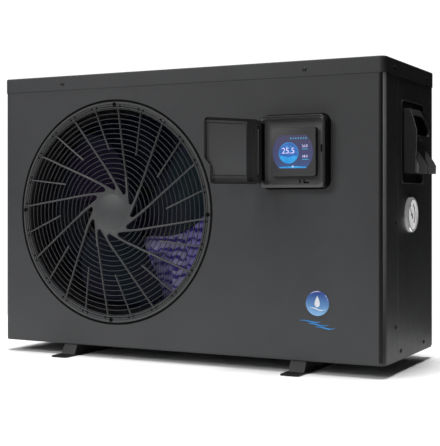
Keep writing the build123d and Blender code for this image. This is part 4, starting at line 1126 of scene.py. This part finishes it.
back = plate("handle_body", [
    (handle_lo.y + cheek_t, 0.401), (handle_hi.y - 0.006, 0.401), (handle_hi.y, 0.407), (handle_hi.y, 0.525),
    (handle_hi.y - 0.006, 0.531), (handle_lo.y + cheek_t, 0.531),
], lambda u, v: Vector((side_x + 0.0015, u, v)), 0.021, handle_black)
finish_with(back, "BEVEL", width=0.0016, segments=3, limit_method="ANGLE")
fins = []
for start, thick in ((handle_lo.y + cheek_t, 0.007), (0.0075, 0.010), (0.064, 0.010)):
    fin = plate("handle_fin", [
        (body_out - 0.001, 0.4012), (0.0325, 0.4012), (0.0328, 0.4180), (0.0280, 0.4270),
        (body_out - 0.001, 0.4520),
    ], lambda u, v: Vector((side_x + u, start + thick / 2, v)), thick, lit_face_grey)
    finish_with(fin, "BEVEL", width=0.0009, segments=2, limit_method="ANGLE")
    # Only the fins' front and outer faces take the light grey: painted light on the faces that catch the light;
    # the rest stay black.
    fin.data.materials.append(handle_black)
    for polygon in fin.data.polygons:
        polygon.material_index = 0 if polygon.normal.y < -0.5 or polygon.normal.x > 0.95 else 1
    fins.append(fin)

hood_line = [(0.460, 0.0322), (0.484, 0.0318), (0.510, 0.0250), (0.531, 0.0160)]
hood_low = [(-0.053, 0.474), (-0.030, 0.467), (0.000, 0.4615), (0.018, 0.4660), (0.030, 0.4800)]
hood_back = [(0.460, 0.010), (0.478, 0.028), (0.490, 0.0300), (0.512, 0.0230), (0.531, 0.0120)]
columns = 24
rows = 30
window_z = (0.4780, 0.5160)
bpy.ops.object.select_all(action="DESELECT")
bpy.ops.mesh.primitive_grid_add(x_subdivisions=columns, y_subdivisions=rows, size=1)
hood = bpy.context.object
hood.name = "handle_hood"
for vertex in hood.data.vertices:
    s, t = vertex.co.x + 0.5, vertex.co.y + 0.5
    z = 0.461 + (0.531 - 0.461) * t
    y = handle_lo.y + cheek_t + s * (curve_through(hood_back, z) - handle_lo.y - cheek_t)
    z = max(z, min(curve_through(hood_low, y), 0.531))
    vertex.co = (side_x + curve_through(hood_line, z), y, z)
merge_and_face_out(hood, 0.0002)
bpy.ops.object.mode_set(mode="EDIT")
bpy.ops.mesh.select_mode(type="FACE")
bpy.ops.mesh.select_all(action="DESELECT")
bpy.ops.object.mode_set(mode="OBJECT")
for polygon in hood.data.polygons:
    y, z = polygon.center.y, polygon.center.z
    rear = curve_through(hood_back, z) - 0.0040 - 0.35 * max(0.0, 0.4865 - z)
    polygon.select = window_z[0] < z < window_z[1] and handle_lo.y + 0.0050 < y < rear
bpy.ops.object.mode_set(mode="EDIT")
bpy.ops.mesh.delete(type="FACE")
bpy.ops.mesh.select_all(action="SELECT")
bpy.ops.mesh.vertices_smooth(factor=0.3, repeat=2, xaxis=False)
bpy.ops.object.mode_set(mode="OBJECT")
finish_with(hood, "SOLIDIFY", thickness=0.0045, offset=-1.0)
finish_with(hood, "BEVEL", width=0.0008, segments=2, limit_method="ANGLE", angle_limit=math.radians(50))
hood.data.materials.append(handle_grey)
rim = [(z, curve_through(hood_back, z)) for z in (0.531, 0.521, 0.511, 0.501, 0.491, 0.483, 0.475)]
skirt_points = [(y, z) for z, y in rim] + [(0.020, 0.4670), (0.010, 0.4630), (0.000, 0.4620), (-0.015, 0.4640),
                                           (-0.030, 0.4680), (-0.049, 0.4730)]
skirt = build("handle_skirt", [(side_x + out - 0.001, y, z) for y, z in skirt_points
                               for out in (body_out, curve_through(hood_line, z))],
              [], [(2 * i, 2 * i + 1, 2 * i + 3, 2 * i + 2) for i in range(len(skirt_points) - 1)])
finish_with(skirt, "SOLIDIFY", thickness=0.003, offset=0.0)
merge_and_face_out(skirt)
skirt.data.materials.append(handle_black)
# A light grey bead along the cheek's edge: painted highlight.
cheek_edge = bead("cheek_edge", [(side_x + out, handle_lo.y + 0.0004, z) for out, z in (
    (0.0262, 0.4020), (0.0281, 0.4480), (0.0288, 0.4870), (0.0224, 0.5088), (0.0158, 0.5298))], 0.0006,
    lit_face_grey, closed=False)
for piece in (cheek, back, skirt, hood):
    merge_and_face_out(piece)
    smooth(piece, 40)
    finish_with(piece, "WEIGHTED_NORMAL", keep_sharp=True)
handle = join(*fins, cheek_edge, cheek, back, skirt, hood)
handle.name = "handle_moulding"
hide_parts("side_handle")

pocket_y = (-0.060, 0.088)
pocket_z = (0.382, 0.547)
soft = 0.010
bead_gap = 0.001
pocket_line = []
for cy, cz, first in ((pocket_y[1] - soft, pocket_z[1] - soft, 0), (pocket_y[0] + soft, pocket_z[1] - soft, 90),
                      (pocket_y[0] + soft, pocket_z[0] + soft, 180),
                      (pocket_y[1] - soft, pocket_z[0] + soft, 270)):
    for step in range(7):
        angle = math.radians(first + 15 * step)
        pocket_line.append((side_x + 0.0003, cy + (soft + bead_gap) * math.cos(angle),
                            cz + (soft + bead_gap) * math.sin(angle)))
# Light grey beads round the pocket and along the side seam are painted highlights on their edges.
painted_edge_highlight = surface("painted_rim_highlight", (0.13, 0.13, 0.13), 0.45, wear=(0.40, 0.50, 45.0))
pocket_bead = bead("pocket_bead", pocket_line, 0.0008, painted_edge_highlight)
seam_line = [(side_x - 0.0001, panel_hi.y - 0.0002, z) for z in (0.030, 0.592)]
seam_bead = bead("side_seam", seam_line, 0.0005, painted_edge_highlight, closed=False)
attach(seam_bead, "cabinet")
for piece, name in ((handle, "black_plastic"), (pocket_bead, "casing_paint")):
    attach(piece, "cabinet")

# Badge: a domed round label, deep blue fading to light blue, with a plain white drop over a wave.
# A short row of blue dashes is printed under it.
badge_lo, badge_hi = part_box("badge")
badge_mid = (badge_lo + badge_hi) / 2
badge_r = (badge_hi.x - badge_lo.x) / 2
badge_ink, nodes, links, shader = material("badge_ink", (0.02, 0.06, 0.30), 0.28)
shader.inputs["Coat Weight"].default_value = 0.5
height_blend(nodes, links, shader.inputs["Base Color"], badge_lo.z, badge_hi.z,
             (0, (0.18, 0.42, 0.72)), (1, (0.015, 0.03, 0.22)))
white_ink = surface("white_ink", (0.72, 0.76, 0.80), 0.35, tint=((0.66, 0.70, 0.75), (0.78, 0.81, 0.84), 200.0))
blue_ink = surface("blue_ink", (0.02, 0.20, 0.55), 0.40, tint=((0.015, 0.15, 0.45), (0.03, 0.26, 0.62), 60.0))


def settle_on_panel(piece):
    """Move each point back by the depth that the panel is pressed there."""
    for vertex in piece.data.vertices:
        vertex.co.y += pressed(vertex.co.x, vertex.co.z)


disc = lathe("badge_disc", [
    (0.0, -0.0019), (badge_r * 0.5, -0.0018), (badge_r * 0.85, -0.0014), (badge_r - 0.0006, -0.0009),
    (badge_r, -0.0004), (badge_r, 0.0), (0.0, 0.0),
], (badge_mid.x, front_y, badge_mid.z), (0, 1, 0), 72)
disc.data.materials.append(badge_ink)
drop = []
for step in range(48):
    angle = 2 * math.pi * step / 48
    width = 0.0078 * math.sin(angle) * math.sin(angle / 2) ** 1.4
    drop.append((width, 0.0040 + 0.0115 * math.cos(angle)))


def on_badge(u, v):
    """A point just over the badge's domed face."""
    dome = 0.0019 - 0.0006 * ((u * u + v * v) / (badge_r * badge_r * 0.7))
    return (badge_mid.x + u, front_y - dome - 0.0001, badge_mid.z + v)


swash = [(-0.0185 + 0.037 * i / 24, -0.0105 + 0.0022 * math.sin(2 * math.pi * i / 24)) for i in range(25)]
swash += [(u, v - 0.0022 * math.cos(u / 0.0185 * math.pi / 2)) for u, v in reversed(swash)]
ink_t = 0.0001
drop_mark = join(plate("drop", drop, on_badge, ink_t, white_ink), plate("wave", swash, on_badge, ink_t, white_ink))
badge_piece = join(drop_mark, disc)
dash_drop = 0.040


def under_badge(u, v):
    """Place a point of the printed waves, below the badge on the panel's face."""
    return badge_mid.x + u, front_y - 0.00015, badge_mid.z - dash_drop + v


dashes = []
for row, (start, end) in enumerate(((-0.040, 0.010), (-0.022, 0.026), (-0.006, 0.040))):
    count = 24
    top = [(start + (end - start) * i / count,
            0.0045 - 0.0058 * row + 0.0014 * math.sin(2 * math.pi * i / count)) for i in range(count + 1)]
    low = [(u, v - 0.0028 * math.sin(math.pi * (i + 0.5) / (count + 1)))
           for i, (u, v) in reversed(list(enumerate(top)))]
    dashes.append(plate("dash", top + low, under_badge, ink_t, blue_ink))
motif = join(*dashes)
motif.name = "panel_motif"
badge_piece.name = "badge_label"
for piece in (badge_piece, motif):
    settle_on_panel(piece)
    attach(piece, "cabinet")
smooth(badge_piece)
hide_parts("badge")

# Water unions, cable gland and drain: dark grey mouldings on the back and under the tray.
# Each union nut has twelve grip ribs and turns on its port.
port_plastic = surface("port_plastic", (0.045, 0.046, 0.048), 0.42, wear=(0.36, 0.50, 60.0), grit=(800.0, 0.10))
coat(port_plastic, "water_outlet_port", "water_inlet_port", "union_nut_outlet", "union_nut_inlet",
     "cable_gland", "drain_spout")

# Inside the dry side: a shell-and-tube exchanger in grey PVC, and a control box with its board,
# finned heat sink and terminal strip.
shell_plastic = surface("shell_plastic", (0.20, 0.21, 0.22), 0.45, wear=(0.40, 0.52, 40.0))
board_green = surface("board_green", (0.01, 0.09, 0.04), 0.35,
                      tint=((0.008, 0.07, 0.03), (0.015, 0.12, 0.05), 150.0))
coat(shell_plastic, "heat_exchanger")
coat(board_green, "circuit_board")
coat(zinc, "heat_sink")
coat(module_black_and_shade, "terminal_block")

# Studio: a pale floor under broad soft lights, with a white surround behind.
floor_white = surface("studio_floor", (0.82, 0.82, 0.82), 0.9, specular=0.1,
                      tint=((0.81, 0.81, 0.81), (0.83, 0.83, 0.83), 2.0))
bpy.ops.object.select_all(action="DESELECT")
bpy.ops.mesh.primitive_plane_add(size=1)
floor = bpy.context.object
floor.name = "studio_floor"
floor.scale = (2.10, 1.50, 1.0)
floor.location = (-0.330, -0.31, 0.0)
settle(floor)
floor.data.materials.append(floor_white)


def softbox(name, place, target, size, power):
    """A rectangular studio light aimed at a point."""
    light = bpy.data.lights.new(name, "AREA")
    light.shape = "RECTANGLE"
    light.size, light.size_y = size
    light.energy = power
    lamp = bpy.data.objects.new(name, light)
    bpy.context.scene.collection.objects.link(lamp)
    lamp.location = place
    lamp.rotation_euler = (Vector(target) - Vector(place)).to_track_quat("-Z", "Y").to_euler()
    return lamp


sun = bpy.data.lights.new("overhead", "SUN")
sun.energy = 4.2
sun.angle = math.radians(20)
overhead = bpy.data.objects.new("overhead", sun)
bpy.context.scene.collection.objects.link(overhead)
softbox("key_box", (-1.7, -3.0, 2.3), (-0.2, -0.1, 0.40), (2.0, 1.4), 80.0)
softbox("fill_box", (0.40, -2.9, 0.9), (-0.15, 0.1, 0.28), (0.06, 0.9), 8.0)

softbox("back_box", (-1.3, 2.7, 1.7), (-0.1, 0.1, 0.35), (1.8, 1.2), 34.0)

surround = bpy.data.worlds.new("surround")
surround.use_nodes = True
bpy.context.scene.world = surround
nodes, links = surround.node_tree.nodes, surround.node_tree.links
seen = nodes["Background"]
seen.inputs["Color"].default_value = (1.0, 1.0, 1.0, 1)
seen.inputs["Strength"].default_value = 1.05
lit = nodes.new("ShaderNodeBackground")
lit.inputs["Color"].default_value = (1.0, 1.0, 1.0, 1)
lit.inputs["Strength"].default_value = 0.02
which = nodes.new("ShaderNodeMixShader")
rays = nodes.new("ShaderNodeLightPath")
links.new(rays.outputs["Is Camera Ray"], which.inputs["Fac"])
links.new(lit.outputs["Background"], which.inputs[1])
links.new(seen.outputs["Background"], which.inputs[2])
links.new(which.outputs["Shader"], nodes["World Output"].inputs["Surface"])

lens = bpy.data.cameras.new("camera")
lens.lens = 86.1
lens.sensor_width = 36.0
lens.shift_y = -0.0496
camera = bpy.data.objects.new("camera", lens)
bpy.context.scene.collection.objects.link(camera)
camera.location = (1.1137, -2.1356, 0.3445)
camera.rotation_euler = Vector((-0.4573, 0.8893, 0.0)).to_track_quat("-Z", "Y").to_euler()
bpy.context.scene.camera = camera
bpy.context.scene.view_settings.view_transform = "Standard"
